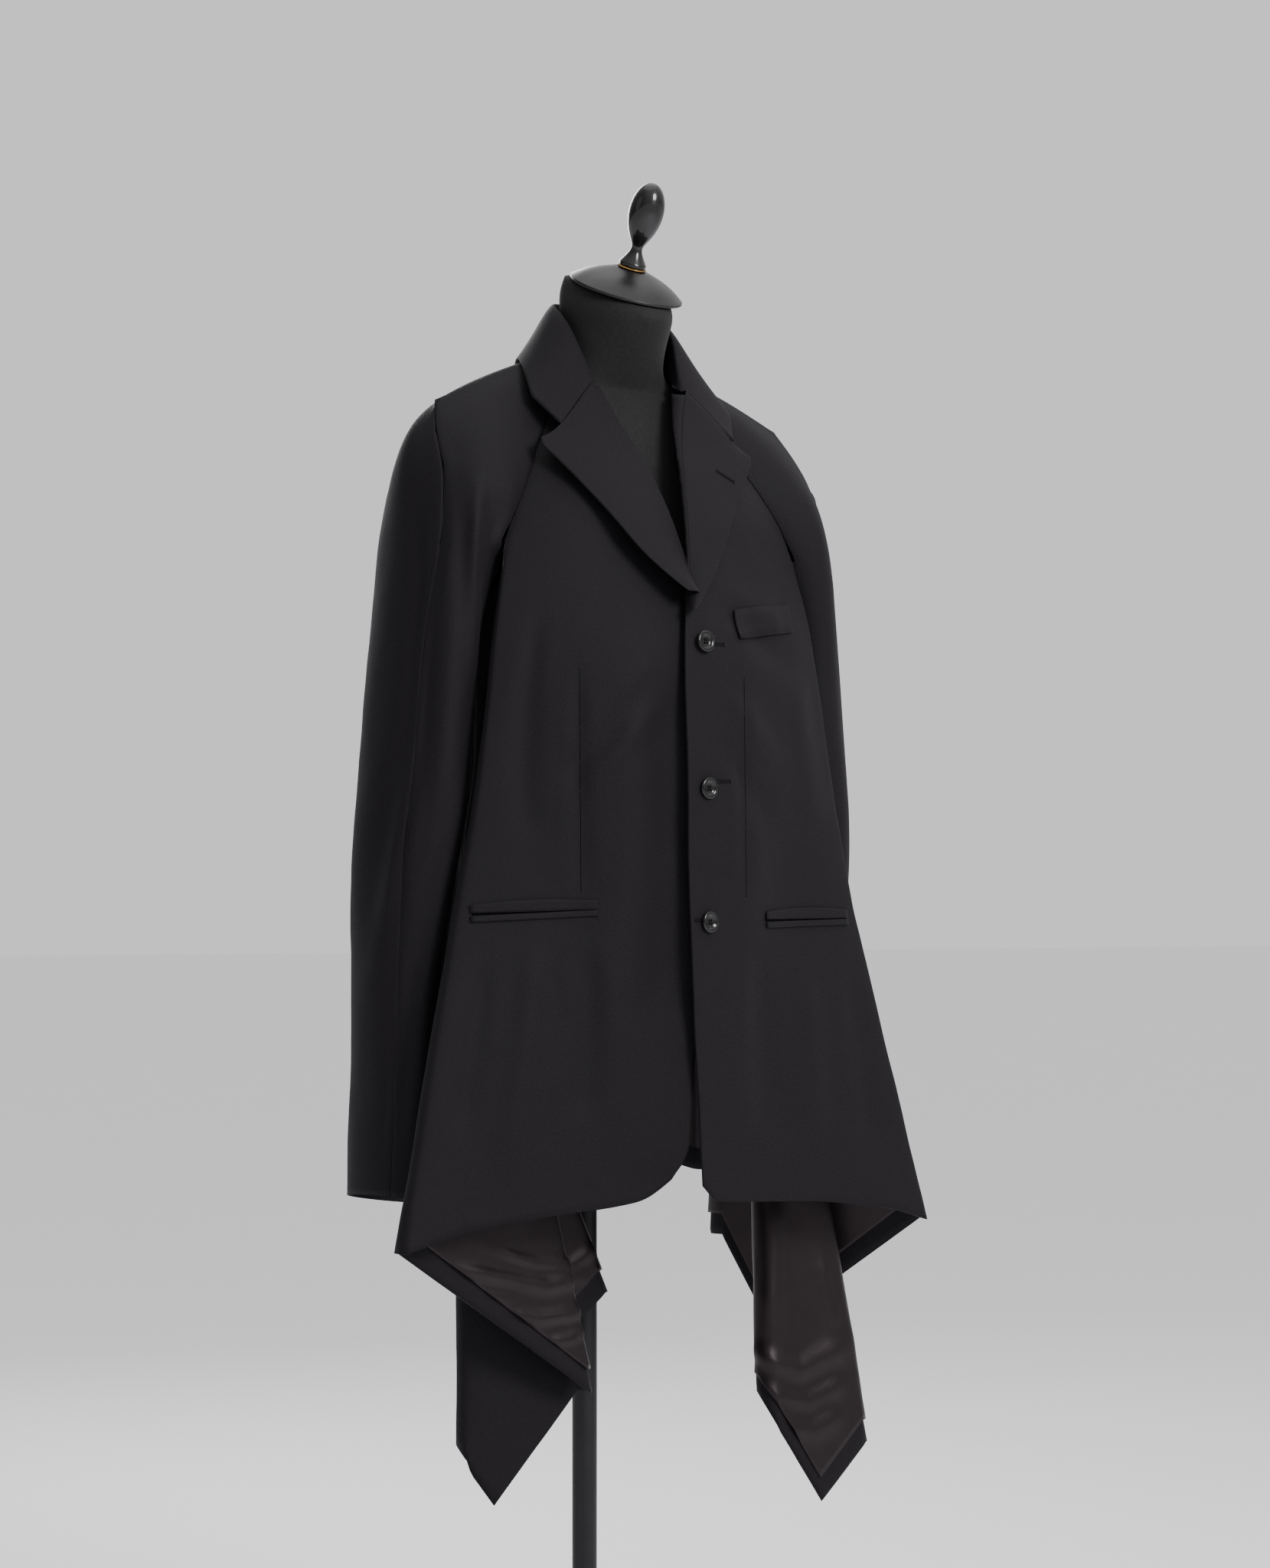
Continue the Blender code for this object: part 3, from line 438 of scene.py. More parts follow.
def wall_side(name, wall, outside, turn_limit=WALL_TURN):
    """One side of a node's cloth wall as a sheet of quads. outside scores a face's direction."""
    bm = merged_copy(name)
    votes = face_signs(bm, wall, turn_limit)
    sides = {1: [], -1: []}
    for face in bm.faces:
        for side in sides:
            if all(votes[vert] * side > 0 for vert in face.verts):
                sides[side].append(face)
    scores = {side: sum(outside(face) * face.calc_area() for face in faces)
              for side, faces in sides.items()}
    kept = set(sides[max(scores, key=scores.get)])
    bmesh.ops.delete(bm, geom=[face for face in bm.faces if face not in kept], context="FACES")
    bmesh.ops.join_triangles(bm, faces=bm.faces, angle_face_threshold=math.pi,
                             angle_shape_threshold=math.pi, topology_influence=1.0)
    return bm


CORNER_TURN = math.radians(38)
COLLAR_TURN = math.radians(26)     # the collar's ends turn less sharply at their corners


def keep_corners(bm, turn):
    """Marks the points where a sheet's edge turns sharply, so that they stay pointed."""
    crease = bm.verts.layers.float.new("crease_vert")
    for vert in bm.verts:
        edges = [edge for edge in vert.link_edges if edge.is_boundary]
        if len(edges) == 2:
            one, other = (edge.other_vert(vert).co - vert.co for edge in edges)
            if min(one.length, other.length) > 0.0 and math.pi - one.angle(other) > turn:
                vert[crease] = 1.0


def finer_mesh(name, bm, levels):
    """The sheet's mesh after subdivision, with its corners kept."""
    keep_corners(bm, COLLAR_TURN if name.endswith("collar") else CORNER_TURN)
    mesh = bpy.data.meshes.new(name)
    bm.to_mesh(mesh)
    bm.free()
    thing = new_object(name, mesh)
    unwrap(thing)
    smoother = thing.modifiers.new("smoother", "SUBSURF")
    smoother.levels = levels
    smoother.render_levels = levels
    smoother.boundary_smooth = "PRESERVE_CORNERS"
    view = bpy.context.evaluated_depsgraph_get()
    fine = bpy.data.meshes.new_from_object(thing.evaluated_get(view))
    bpy.data.objects.remove(thing)
    fine.name = name
    return fine


def unwrap(thing):
    """Lays the sheet flat, as its pattern piece, with its grain upright and its UVs in metres."""
    bpy.context.view_layer.objects.active = thing
    thing.select_set(True)
    bpy.ops.object.mode_set(mode="EDIT")
    bpy.ops.mesh.select_all(action="SELECT")
    bpy.ops.uv.unwrap(method="ANGLE_BASED", margin=0.0)
    bpy.ops.object.mode_set(mode="OBJECT")
    thing.select_set(False)
    mesh = thing.data
    layer = mesh.uv_layers.active
    layer.name = "cloth"
    uv = np.zeros(len(mesh.loops) * 2)
    layer.data.foreach_get("uv", uv)
    uv = uv.reshape(-1, 2)
    flat_area = 0.0
    for face in mesh.polygons:
        ring = uv[list(face.loop_indices)]
        after = np.roll(ring, -1, axis=0)
        flat_area += abs(np.sum(ring[:, 0] * after[:, 1] - ring[:, 1] * after[:, 0])) / 2.0
    scale = math.sqrt(sum(face.area for face in mesh.polygons) / flat_area)
    heights = np.array([mesh.vertices[loop.vertex_index].co.z for loop in mesh.loops])
    spread = uv - uv.mean(axis=0)
    slope = np.linalg.lstsq(spread, heights - heights.mean(), rcond=None)[0]
    turn = math.pi / 2.0 - math.atan2(slope[1], slope[0])
    spin = np.array([[math.cos(turn), -math.sin(turn)], [math.sin(turn), math.cos(turn)]])
    layer.data.foreach_set("uv", (spread @ spin.T * scale).ravel())


def coordinates(mesh):
    co = np.zeros(len(mesh.vertices) * 3)
    mesh.vertices.foreach_get("co", co)
    return co.reshape(-1, 3)


def directions(mesh):
    normals = np.zeros(len(mesh.vertices) * 3)
    mesh.vertices.foreach_get("normal", normals)
    return normals.reshape(-1, 3)


def smooth_step(value):
    value = np.clip(value, 0.0, 1.0)
    return value * value * (3.0 - 2.0 * value)


def boundary_points(mesh):
    """Vertices on the sheet's open edge."""
    count = {}
    for face in mesh.polygons:
        for key in face.edge_keys:
            count[key] = count.get(key, 0) + 1
    return sorted({vert for key, times in count.items() if times == 1 for vert in key})


def distance_to(points, targets):
    """Distance from each point to the nearest target, or a metre where there are none."""
    if len(targets) == 0:
        return np.ones(len(points))
    tree = KDTree(len(targets))
    for i, point in enumerate(targets):
        tree.insert(point, i)
    tree.balance()
    return np.array([tree.find(point)[2] for point in points])


NODE_TREES = {}


def node_tree_of(name):
    if name not in NODE_TREES:
        NODE_TREES[name] = BVHTree.FromPolygons(
            [v.co for v in NODES[name].data.vertices],
            [tuple(p.vertices) for p in NODES[name].data.polygons])
    return NODE_TREES[name]


def split_boundary(name, mesh, neighbours):
    """Boundary points at seams, and those at free edges."""
    seam = []
    free = []
    for index in boundary_points(mesh):
        point = mesh.vertices[index].co
        near = any(node_tree_of(other).find_nearest(point, SEAM_REACH)[0] is not None
                   for other in neighbours if other != name)
        (seam if near else free).append(point.copy())
    return seam, free


PANELS = tuple(name for name in NODES if name.startswith(("front_", "back_", "sleeve_")))
FRONTS = {"front_right", "front_left"}
SEAM_CLOSED = 0.0018               # seam edges further apart than this are left alone
SEAM_LAP = 0.00025                 # joined panels reach this far past the middle of their seam


def close_seams(name, mesh, points):
    """Moves a panel's sewn edges to meet the next panel's, so no light passes the seam.

    Edges that lie further apart than half of SEAM_CLOSED move less and less.
    """
    if name not in PANELS:
        return points
    for index in boundary_points(mesh):
        point = Vector(points[index])
        found = [node_tree_of(other).find_nearest(point, SEAM_CLOSED) for other in PANELS
                 if other != name and {name, other} != FRONTS]
        found = [(gap, spot) for spot, _, _, gap in found if spot is not None and gap > 0.0]
        if found:
            gap, spot = min(found, key=lambda near: near[0])
            apart = smooth_step(np.array(gap / SEAM_CLOSED * 2.0 - 1.0))
            share = 1.0 - float(apart)
            points[index] = point + (spot - point) * (0.5 + SEAM_LAP / gap) * share
    return points


# Creases

CREASE_ENDS = 0.22                 # share of a crease's length over which each end fades
CREASE_LEFT = 0.15                 # share of its height that is left at the ends
CREASE_SPREAD = (0.75, 0.5)        # its width at the start, and what that gains along it
TROUGH = (0.30, 2.3)               # the hollow beside a ridge: share of its height, and width


def seen_from(points, azimuth):
    """Sideways place and height of points seen from this azimuth, in metres."""
    side = points[:, 0] * math.cos(azimuth) + points[:, 1] * math.sin(azimuth)
    return np.stack([side, points[:, 2]], axis=1)


def seen_in_photo(points):
    """Pixel place of points in the photograph, in metres at the form's middle."""
    away = points[:, 0] * math.sin(VIEW_TURN) + points[:, 1] * math.cos(VIEW_TURN)
    nearer = VIEW_DISTANCE / (VIEW_DISTANCE + away)
    side = points[:, 0] * math.cos(VIEW_TURN) - points[:, 1] * math.sin(VIEW_TURN)
    return np.stack([side * nearer, (points[:, 2] - EYE_HEIGHT) * nearer], axis=1)


def from_pixels(pixels):
    return [((x - PHOTO_ORIGIN[0]) / PHOTO_SCALE, (PHOTO_ORIGIN[1] - y) / PHOTO_SCALE)
            for x, y in pixels]


def crease_height(places, line, width, depth):
    """Height of one soft ridge or trough along a line, fading at both ends."""
    line = np.array(line)
    lengths = np.linalg.norm(np.diff(line, axis=0), axis=1)
    total = lengths.sum()
    best = np.full(len(places), np.inf)
    along = np.zeros(len(places))
    before = 0.0
    for start, end, length in zip(line[:-1], line[1:], lengths):
        way = (end - start) / length
        t = np.clip((places - start) @ way, 0.0, length)
        gap = np.linalg.norm(places - start - t[:, None] * way, axis=1)
        nearer = gap < best
        best = np.where(nearer, gap, best)
        along = np.where(nearer, (before + t) / total, along)
        before += length
    fade = smooth_step(along / CREASE_ENDS) * smooth_step((1.0 - along) / CREASE_ENDS)
    fade = fade * (1.0 - CREASE_LEFT) + CREASE_LEFT
    spread = width * (CREASE_SPREAD[0] + CREASE_SPREAD[1] * along)
    trough, wider = TROUGH
    crest = np.exp(-(best / spread) ** 2) - trough * np.exp(-(best / (wider * spread)) ** 2)
    return depth * crest * fade


RIGHT_SLEEVE = ("sleeve_front_right", "sleeve_back_right")
LEFT_SLEEVE = ("sleeve_front_left", "sleeve_back_left")
BACKS = ("back_right", "back_left")
RIGHT_TAIL = ("tail_lining_right",)
LEFT_TAIL = ("tail_lining_left",)

# Creases read from the photograph: pieces, half width and height in millimetres, pixel line
PHOTO_CREASES = (
    (RIGHT_SLEEVE, 8, 5.0, ((624, 640), (619, 717), (619, 780), (620, 832), (622, 915))),
    (RIGHT_SLEEVE, 14, -7.0, ((640, 596), (646, 660), (652, 720), (650, 800), (640, 900))),
    (RIGHT_SLEEVE, 15, 4.6, ((572, 600), (584, 700), (590, 820), (584, 960), (572, 1090))),
    (RIGHT_SLEEVE, 12, -5.0, ((545, 640), (552, 760), (548, 900), (536, 1020))),
    (RIGHT_SLEEVE, 12, -4.6, ((516, 980), (498, 1090), (472, 1215))),
    (RIGHT_SLEEVE, 13, 4.6, ((548, 1010), (524, 1120), (498, 1240), (482, 1350))),
    (RIGHT_SLEEVE, 12, -4.2, ((578, 1100), (548, 1240), (522, 1390), (506, 1500))),
    (RIGHT_SLEEVE, 10, 3.6, ((604, 1000), (592, 1150), (574, 1290))),
    (("front_right",), 9, -2.6, ((757, 868), (756, 960), (757, 1060), (760, 1180))),
    (("front_left",), 7, -2.0, ((972, 880), (970, 960), (972, 1060), (974, 1180))),
    (("front_left",), 12, -4.0, ((938, 786), (968, 812), (1006, 842), (1036, 880))),
    (("front_left",), 9, 2.4, ((958, 774), (990, 792), (1022, 822))),
    (("front_right",), 30, -10.5, ((884, 850), (872, 960), (876, 1090), (870, 1230), (868, 1400))),
    (("front_right",), 13, -4.2, ((862, 880), (820, 930), (772, 985), (728, 1030))),
    (("front_right",), 12, 3.4, ((850, 925), (800, 985), (750, 1040))),
    (("front_right",), 13, -3.4, ((704, 800), (690, 900), (684, 1010), (690, 1110))),
    (("front_left",), 12, 3.6, ((945, 900), (985, 950), (1018, 1010))),
    (("front_left",), 12, -3.6, ((940, 960), (975, 1015), (1010, 1080))),
    (("front_left",), 12, 3.0, ((1040, 880), (1052, 980), (1066, 1090))),
    (("front_right",), 16, 5.0, ((700, 1220), (690, 1330), (676, 1450), (668, 1560))),
    (("front_right",), 16, -5.0, ((770, 1230), (768, 1350), (762, 1480))),
    (("front_right",), 14, -4.0, ((636, 1250), (620, 1360), (600, 1500))),
    (("front_left",), 15, 4.4, ((1050, 1250), (1058, 1370), (1064, 1500))),
    (("front_left",), 15, -4.8, ((995, 1240), (1000, 1360), (1008, 1490))),
    (("front_left",), 13, -3.6, ((1110, 1260), (1128, 1380), (1150, 1510))),
    (RIGHT_TAIL, 9, 5.6, ((585, 1655), (650, 1668), (715, 1680), (785, 1662))),
    (RIGHT_TAIL, 7, 5.0, ((640, 1632), (700, 1650), (748, 1650), (792, 1622))),
    (RIGHT_TAIL, 8, 5.4, ((655, 1715), (705, 1722), (748, 1716), (790, 1690))),
    (RIGHT_TAIL, 7, 4.0, ((715, 1752), (745, 1748), (776, 1730))),
    (RIGHT_TAIL, 6, 3.4, ((610, 1690), (650, 1694), (690, 1700))),
    (LEFT_TAIL, 11, 5.2, ((978, 1752), (1006, 1778), (1046, 1790), (1112, 1752))),
    (LEFT_TAIL, 9, 4.2, ((984, 1796), (1014, 1822), (1056, 1830), (1112, 1800))),
    (LEFT_TAIL, 9, 3.4, ((1000, 1838), (1030, 1864), (1064, 1868), (1106, 1840))),
    (LEFT_TAIL, 12, 4.2, ((1010, 1560), (1012, 1640), (1006, 1730))),
    (LEFT_TAIL, 9, 3.2, ((1072, 1640), (1080, 1700), (1096, 1740))),
)

# Creases on the sides that the photograph hides: pieces, view azimuth in degrees, half width and
# height in millimetres, line of sideways place and height above the floor in millimetres
HIDDEN_CREASES = (
    (BACKS, 180, 16, -4.6, ((-70, 1290), (-62, 1200), (-58, 1110))),
    (BACKS, 180, 15, -4.2, ((74, 1270), (66, 1190), (60, 1120))),
    (BACKS, 180, 17, 3.8, ((-96, 1060), (-60, 1030), (-18, 1018))),
    (BACKS, 180, 16, 3.4, ((90, 1050), (56, 1026), (20, 1016))),
    (BACKS, 180, 18, 4.6, ((-48, 900), (-56, 800), (-66, 690))),
    (BACKS, 180, 17, -4.6, ((38, 890), (44, 790), (50, 680))),
    (BACKS, 180, 15, 3.6, ((104, 880), (116, 790), (124, 690))),
    (BACKS, 180, 15, -3.6, ((-118, 870), (-128, 780), (-138, 680))),
    (LEFT_SLEEVE, 90, 14, 4.6, ((-30, 1280), (-36, 1180), (-34, 1080), (-28, 980))),
    (LEFT_SLEEVE, 90, 15, -5.2, ((18, 1240), (24, 1140), (22, 1030))),
    (LEFT_SLEEVE, 90, 13, -4.2, ((-24, 960), (4, 900), (34, 850))),
    (LEFT_SLEEVE, 90, 13, 3.8, ((0, 880), (28, 800), (44, 700))),
    (("sleeve_back_right",), 180, 14, 4.2, ((212, 1270), (216, 1170), (214, 1060))),
    (("sleeve_back_right",), 180, 13, -4.0, ((236, 1010), (222, 930), (216, 850))),
    (("sleeve_back_right",), 180, 13, 3.6, ((228, 830), (236, 740), (240, 660))),
    (("sleeve_back_left",), 180, 14, -4.2, ((-212, 1260), (-218, 1160), (-216, 1050))),
    (("sleeve_back_left",), 180, 13, 4.0, ((-236, 1000), (-222, 920), (-214, 830))),
    (("front_left",), 60, 14, -4.0, ((60, 1120), (66, 1010), (58, 930))),
    (("front_left",), 60, 15, 4.2, ((96, 860), (108, 760), (116, 660))),
)


FACING = (0.05, 0.35)              # creases come in from a cosine of -0.05, over 0.35
SLOW_WAVES = (13.0, 0.0014)        # the cloth's own unevenness: waves in a metre, and height
FINE_WAVES = (42.0, 0.00035)
WAVE_SHIFT = 7.3                   # each piece reads the noise in a place of its own
WAVE_PLACES = 11


def turned_to(normals, azimuth):
    """Share of a crease that each point takes, by how far it faces the azimuth."""
    toward = np.array([math.sin(azimuth), -math.cos(azimuth), 0.0])
    start, width = FACING
    return smooth_step((normals @ toward + start) / width)


def drape(name, points, normals):
    """Height of all the creases on a piece, and its slight unevenness, at each point."""
    height = np.zeros(len(points))
    in_photo = seen_in_photo(points)
    facing = turned_to(normals, -VIEW_TURN)
    for pieces, width, depth, pixels in PHOTO_CREASES:
        if name in pieces:
            line = from_pixels(pixels)
            height += facing * crease_height(in_photo, line, width * MM, depth * MM)
    for pieces, azimuth, width, depth, line in HIDDEN_CREASES:
        if name in pieces:
            turn = math.radians(azimuth)
            places = seen_from(points, turn)
            line = [(x * MM, z * MM) for x, z in line]
            facing = turned_to(normals, turn)
            height += facing * crease_height(places, line, width * MM, depth * MM)
    shift = WAVE_SHIFT * (1 + sum(map(ord, name)) % WAVE_PLACES)
    for i, point in enumerate(points):
        place = Vector(point)
        slow = noise.noise(place * SLOW_WAVES[0] + Vector((shift, 0.0, 0.0)))
        fine = noise.noise(place * FINE_WAVES[0] + Vector((0.0, shift, 0.0)))
        height[i] += SLOW_WAVES[1] * slow + FINE_WAVES[1] * fine
    return height


# Places where the photograph's outline is finer than the solid's, in the photograph's pixels

# Corners of the tails that are trimmed: first and last column, the level of the cut at each, the
# level of the untrimmed end, and the level where the trimming starts
TAIL_TRIMS = ((592, 616, 1884, 1917, 1917, 1820), (990, 1017, 1815, 1860, 1860, 1750))
TRIM_MARGIN = 12                   # columns beside a corner that are trimmed with it

# The far lapel's width at a few levels, as a share of its solid's
LAPEL_TAPER = ((560, 600, 690, 740, 780), (1.00, 0.90, 0.74, 0.62, 0.45))
LAPEL_ROLL = (889.0, 780.0, 17.0)  # its roll line's column, its end, and how much lower it runs
LAPEL_TIP = 90.0                   # levels over which it comes to run lower

# The near front's lower centre edge: levels, the solid's columns and the photograph's
EDGE_LEVELS = (1385, 1500, 1520, 1540)
EDGE_BEFORE = (908, 890, 885, 880)
EDGE_AFTER = (910, 906, 896, 880)
EDGE_ROOT = 800.0                  # the column where the widening starts
EDGE_ABOVE = 60                    # levels above the first that are widened with it

# Hip pocket lips, in metres: arch of the upper lip, how far it sags and how far the lower rises
LIP_ARCH = 0.0030
LIP_SAG = 0.0030
LIP_RISE = 0.0014
SAG_START = 0.55                   # share of the sag at the pocket's first end
RISE_START = 0.6                   # and of the rise


def trimmed_tails(columns, levels):
    """How far points of the tails sink, in pixels. Trimmed ones rise, so theirs is negative."""
    drop = np.zeros(len(columns))
    for first, last, cut_first, cut_last, end, start in TAIL_TRIMS:
        inside = (columns > first - TRIM_MARGIN) & (columns < last) & (levels > start)
        cut = cut_first + (cut_last - cut_first) * (columns - first) / (last - first)
        lower = start + (levels - start) * (cut - start) / (end - start)
        drop = np.where(inside, lower - levels, drop)
    return drop


def widened_edge(columns, levels):
    """How far points of the near front move towards the far side, in pixels."""
    before = np.interp(levels, EDGE_LEVELS, EDGE_BEFORE)
    share = np.clip((columns - EDGE_ROOT) / (before - EDGE_ROOT), 0.0, 1.0)
    across = share * (np.interp(levels, EDGE_LEVELS, EDGE_AFTER) - before)
    return np.where(levels > EDGE_LEVELS[0] - EDGE_ABOVE, across, 0.0)


def tapered_lapel(columns, levels):
    """How far points of the far lapel move across and sink, in pixels."""
    roll, end, longer = LAPEL_ROLL
    share = np.interp(levels, *LAPEL_TAPER)
    across = np.where(columns > roll, (columns - roll) * (share - 1.0), 0.0)
    return across, np.interp(levels, (end - LAPEL_TIP, end), (0.0, longer))


def lip_rise(name, points):
    """How far points of a lip rise, in metres: the upper one arches and sags, the lower rises."""
    slope, level = np.polyfit(points[:, 0], points[:, 2], 1)
    above = points[:, 2] - slope * points[:, 0] - level
    share = np.clip(0.5 + above / np.ptp(above), 0.0, 1.0)
    along = (points[:, 0] - points[:, 0].min()) / np.ptp(points[:, 0])
    if "upper" in name:
        sag = LIP_SAG * (SAG_START + (1.0 - SAG_START) * along)
        return LIP_ARCH * np.sin(math.pi * along) * share - sag * (1.0 - share)
    return LIP_RISE * (RISE_START + (1.0 - RISE_START) * along)


def fit_to_photo(name, points):
    """The points of a sheet, moved where the photograph's outline is finer than the solid's."""
    places = seen_in_photo(points)
    columns = PHOTO_ORIGIN[0] + PHOTO_SCALE * places[:, 0]
    levels = PHOTO_ORIGIN[1] - PHOTO_SCALE * places[:, 1]
    across = np.zeros(len(points))
    drop = np.zeros(len(points))
    if name.startswith(("front_", "back_", "tail_")):
        drop = trimmed_tails(columns, levels)
    if name == "front_right":
        across = widened_edge(columns, levels)
    if name == "lapel_left":
        across, drop = tapered_lapel(columns, levels)
    points = points.copy()
    points[:, 0] += math.cos(VIEW_TURN) * across / PHOTO_SCALE
    points[:, 1] -= math.sin(VIEW_TURN) * across / PHOTO_SCALE
    points[:, 2] -= drop / PHOTO_SCALE
    if name.startswith("pocket_jet"):
        points[:, 2] += lip_rise(name, points)
    return points


CLOTH_NODES = tuple(name for name in NODES
                    if name.startswith(("front_", "back_", "sleeve_", "lapel_", "collar")))
CREASE_LOWEST = -0.010             # no crease sinks deeper into its panel than this
WALL_CLAMP = 1.2                   # a wall grows thinner where its cloth turns sharply


def lay_cloth(name, bm, levels, wall, inner, slot, neighbours=CLOTH_NODES,
              creased_as=None, ease=1.0, groove=GROOVE_DEPTH, sunk=0.0, lowest=CREASE_LOWEST):
    """Finishes one sheet: finer mesh, creases, seam grooves, wall, materials and its place."""
    mesh = finer_mesh("cloth_" + name, bm, levels)
    points = close_seams(name, mesh, fit_to_photo(name, coordinates(mesh)))
    mesh.vertices.foreach_set("co", points.ravel())
    normals = directions(mesh)
    seam, free = split_boundary(name, mesh, neighbours)
    to_seam = distance_to(points, seam)
    height = drape(creased_as or name, points, normals) * ease
    height *= smooth_step(to_seam / SEAM_FADE)
    height -= groove * np.exp(-(to_seam / GROOVE_WIDTH) ** 2) + sunk
    height = np.maximum(height, lowest)
    mesh.vertices.foreach_set("co", (points + normals * height[:, None]).ravel())
    hem = mesh.attributes.new("hem", "FLOAT", "POINT")
    hem.data.foreach_set("value", distance_to(points, free).astype(np.float32))
    mesh.shade_smooth()
    mesh.materials.clear()
    mesh.materials.append(finish_of("wool" if slot == "wool" else "lining"))
    mesh.materials.append(finish_of(inner))
    piece = new_object("cloth_" + name, mesh)
    thickness = piece.modifiers.new("wall", "SOLIDIFY")
    thickness.thickness = wall
    thickness.offset = -1.0
    thickness.use_even_offset = True
    thickness.use_quality_normals = True
    thickness.thickness_clamp = WALL_CLAMP
    thickness.material_offset = 1
    thickness.material_offset_rim = 0
    stand_for(piece, name)
    uv = np.zeros(len(mesh.loops) * 2)
    mesh.uv_layers["cloth"].data.foreach_get("uv", uv)
    return piece


def away_from(x, y):
    """Scores a face by how far it turns away from an upright axis."""
    def score(face):
        centre = face.calc_center_median()
        return face.normal.dot(Vector((centre.x - x, centre.y - y, 0.0)).normalized())
    return score


def to_front(face):
    return -face.normal.y


SIDES = {"right": -1.0, "left": 1.0}
BODY_AXIS = (0.0, 0.0)
SLEEVE_AXIS = (0.215, 0.010)       # of the left sleeve; the right one's is its mirror image
COLLAR_WALL = 1.2                  # the collar's thickness, as a share of the wool's
TURNED_EASE = 0.35                 # share of the unevenness that pressed, turned cloth keeps
TOP_BAND = 0.00001                 # faces that reach this near the collar's top are its outside


def facing_in(face):
    return -away_from(*BODY_AXIS)(face)


def hang_panel(name, axis):
    """Finishes a wool panel whose outside turns away from an upright axis."""
    wall = bpy.context.scene.blazer_cloth.wool_thickness
    sheet = wall_side(name, wall, away_from(*axis))
    lay_cloth(name, sheet, CLOTH_LEVELS, wall, "faced", "wool")


class BLAZER_OT_fronts(bpy.types.Operator):
    """Make both fronts with their folded tails"""

    bl_idname = "blazer.fronts"
    bl_label = "Fronts"

    def execute(self, context):
        for side in SIDES:
            hang_panel("front_" + side, BODY_AXIS)
        return {"FINISHED"}


class BLAZER_OT_backs(bpy.types.Operator):
    """Make both halves of the back"""

    bl_idname = "blazer.backs"
    bl_label = "Backs"

    def execute(self, context):
        for side in SIDES:
            hang_panel("back_" + side, BODY_AXIS)
        return {"FINISHED"}


class BLAZER_OT_sleeves(bpy.types.Operator):
    """Make the front and back pieces of both raglan sleeves"""

    bl_idname = "blazer.sleeves"
    bl_label = "Sleeves"

    def execute(self, context):
        for side, sign in SIDES.items():
            for which in ("front", "back"):
                hang_panel("sleeve_%s_%s" % (which, side), (sign * SLEEVE_AXIS[0], SLEEVE_AXIS[1]))
        return {"FINISHED"}


class BLAZER_OT_collar(bpy.types.Operator):
    """Make the collar and both lapels"""

    bl_idname = "blazer.collar"
    bl_label = "Collar and Lapels"

    def execute(self, context):
        wall = context.scene.blazer_cloth.wool_thickness
        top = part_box("collar")[1].z

        def upper(face):
            return 1.0 if max(vert.co.z for vert in face.verts) > top - TOP_BAND else 0.0

        sheet = wall_side("collar", wall * COLLAR_WALL, upper)
        lay_cloth("collar", sheet, CLOTH_LEVELS, wall * COLLAR_WALL, "wool", "wool",
                  ease=TURNED_EASE, groove=0.0)
        for side in SIDES:
            name = "lapel_" + side
            sheet = wall_side(name, wall, to_front)
            lay_cloth(name, sheet, CLOTH_LEVELS, wall, "wool", "wool",
                      ease=TURNED_EASE, groove=0.0)
        return {"FINISHED"}


ROLL_STATIONS = 44
ROLL_COLUMNS = 7
ROLL_ENDS = (0.012, 0.001)         # the roll starts and ends this far inside its lapel's height
ROLL_SWELL = 0.45                  # how far the roll swells inwards, as a share of its width
ROLL_CUT = 1.3                     # its cut width, as a share of the straight distance across
LEVEL_BAND = 0.0045                # edge points this near a height count as lying at it
EDGE_BAND = 0.0012                 # edge points this near the foremost one are averaged with it
EDGES = {}


def leading_edge(node, sign, height):
    """The point of a sheet's edge that lies nearest the centre front at a height."""
    mesh = bpy.data.objects["cloth_" + node].data
    if node not in EDGES:
        EDGES[node] = boundary_points(mesh)
    level = [mesh.vertices[i].co for i in EDGES[node]]
    level = [point for point in level if abs(point.z - height) < LEVEL_BAND and point.y < 0.0]
    if not level:
        return None
    foremost = min(point.x * sign for point in level)
    near = [point for point in level if point.x * sign < foremost + EDGE_BAND]
    return sum(near, Vector()) / len(near)


def roll_strip(side, sign, rows, wall):
    """The turned strip between a lapel's edge and its front's, from pairs of their points."""
    bm = bmesh.new()
    layer = bm.loops.layers.uv.new("cloth")
    flat = {}
    grid = []
    for top, foot in rows:
        width = (top - foot).length
        swell = (top + foot) / 2.0 - Vector((sign * ROLL_SWELL * width * 2.0, 0.0, 0.0))
        line = []
        for c in range(ROLL_COLUMNS):
            t = c / (ROLL_COLUMNS - 1)
            point = top * (1 - t) ** 2 + swell * 2.0 * t * (1 - t) + foot * t * t
            vert = bm.verts.new(point)
            flat[vert] = (t * width * ROLL_CUT, point.z)
            line.append(vert)
        grid.append(line)
    fill_grid(bm, grid)
    for face in bm.faces:
        for loop in face.loops:
            loop[layer].uv = flat[loop.vert]
    bm.normal_update()
    if sum(face.normal.x * face.calc_area() for face in bm.faces) * sign > 0.0:
        bmesh.ops.reverse_faces(bm, faces=bm.faces)
    area = sum(face.calc_area() for face in bm.faces)
    piece = object_of("roll_" + side, bm, "wool")
    thickness = piece.modifiers.new("wall", "SOLIDIFY")
    thickness.thickness = wall
    thickness.offset = -1.0
    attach(piece, "root")


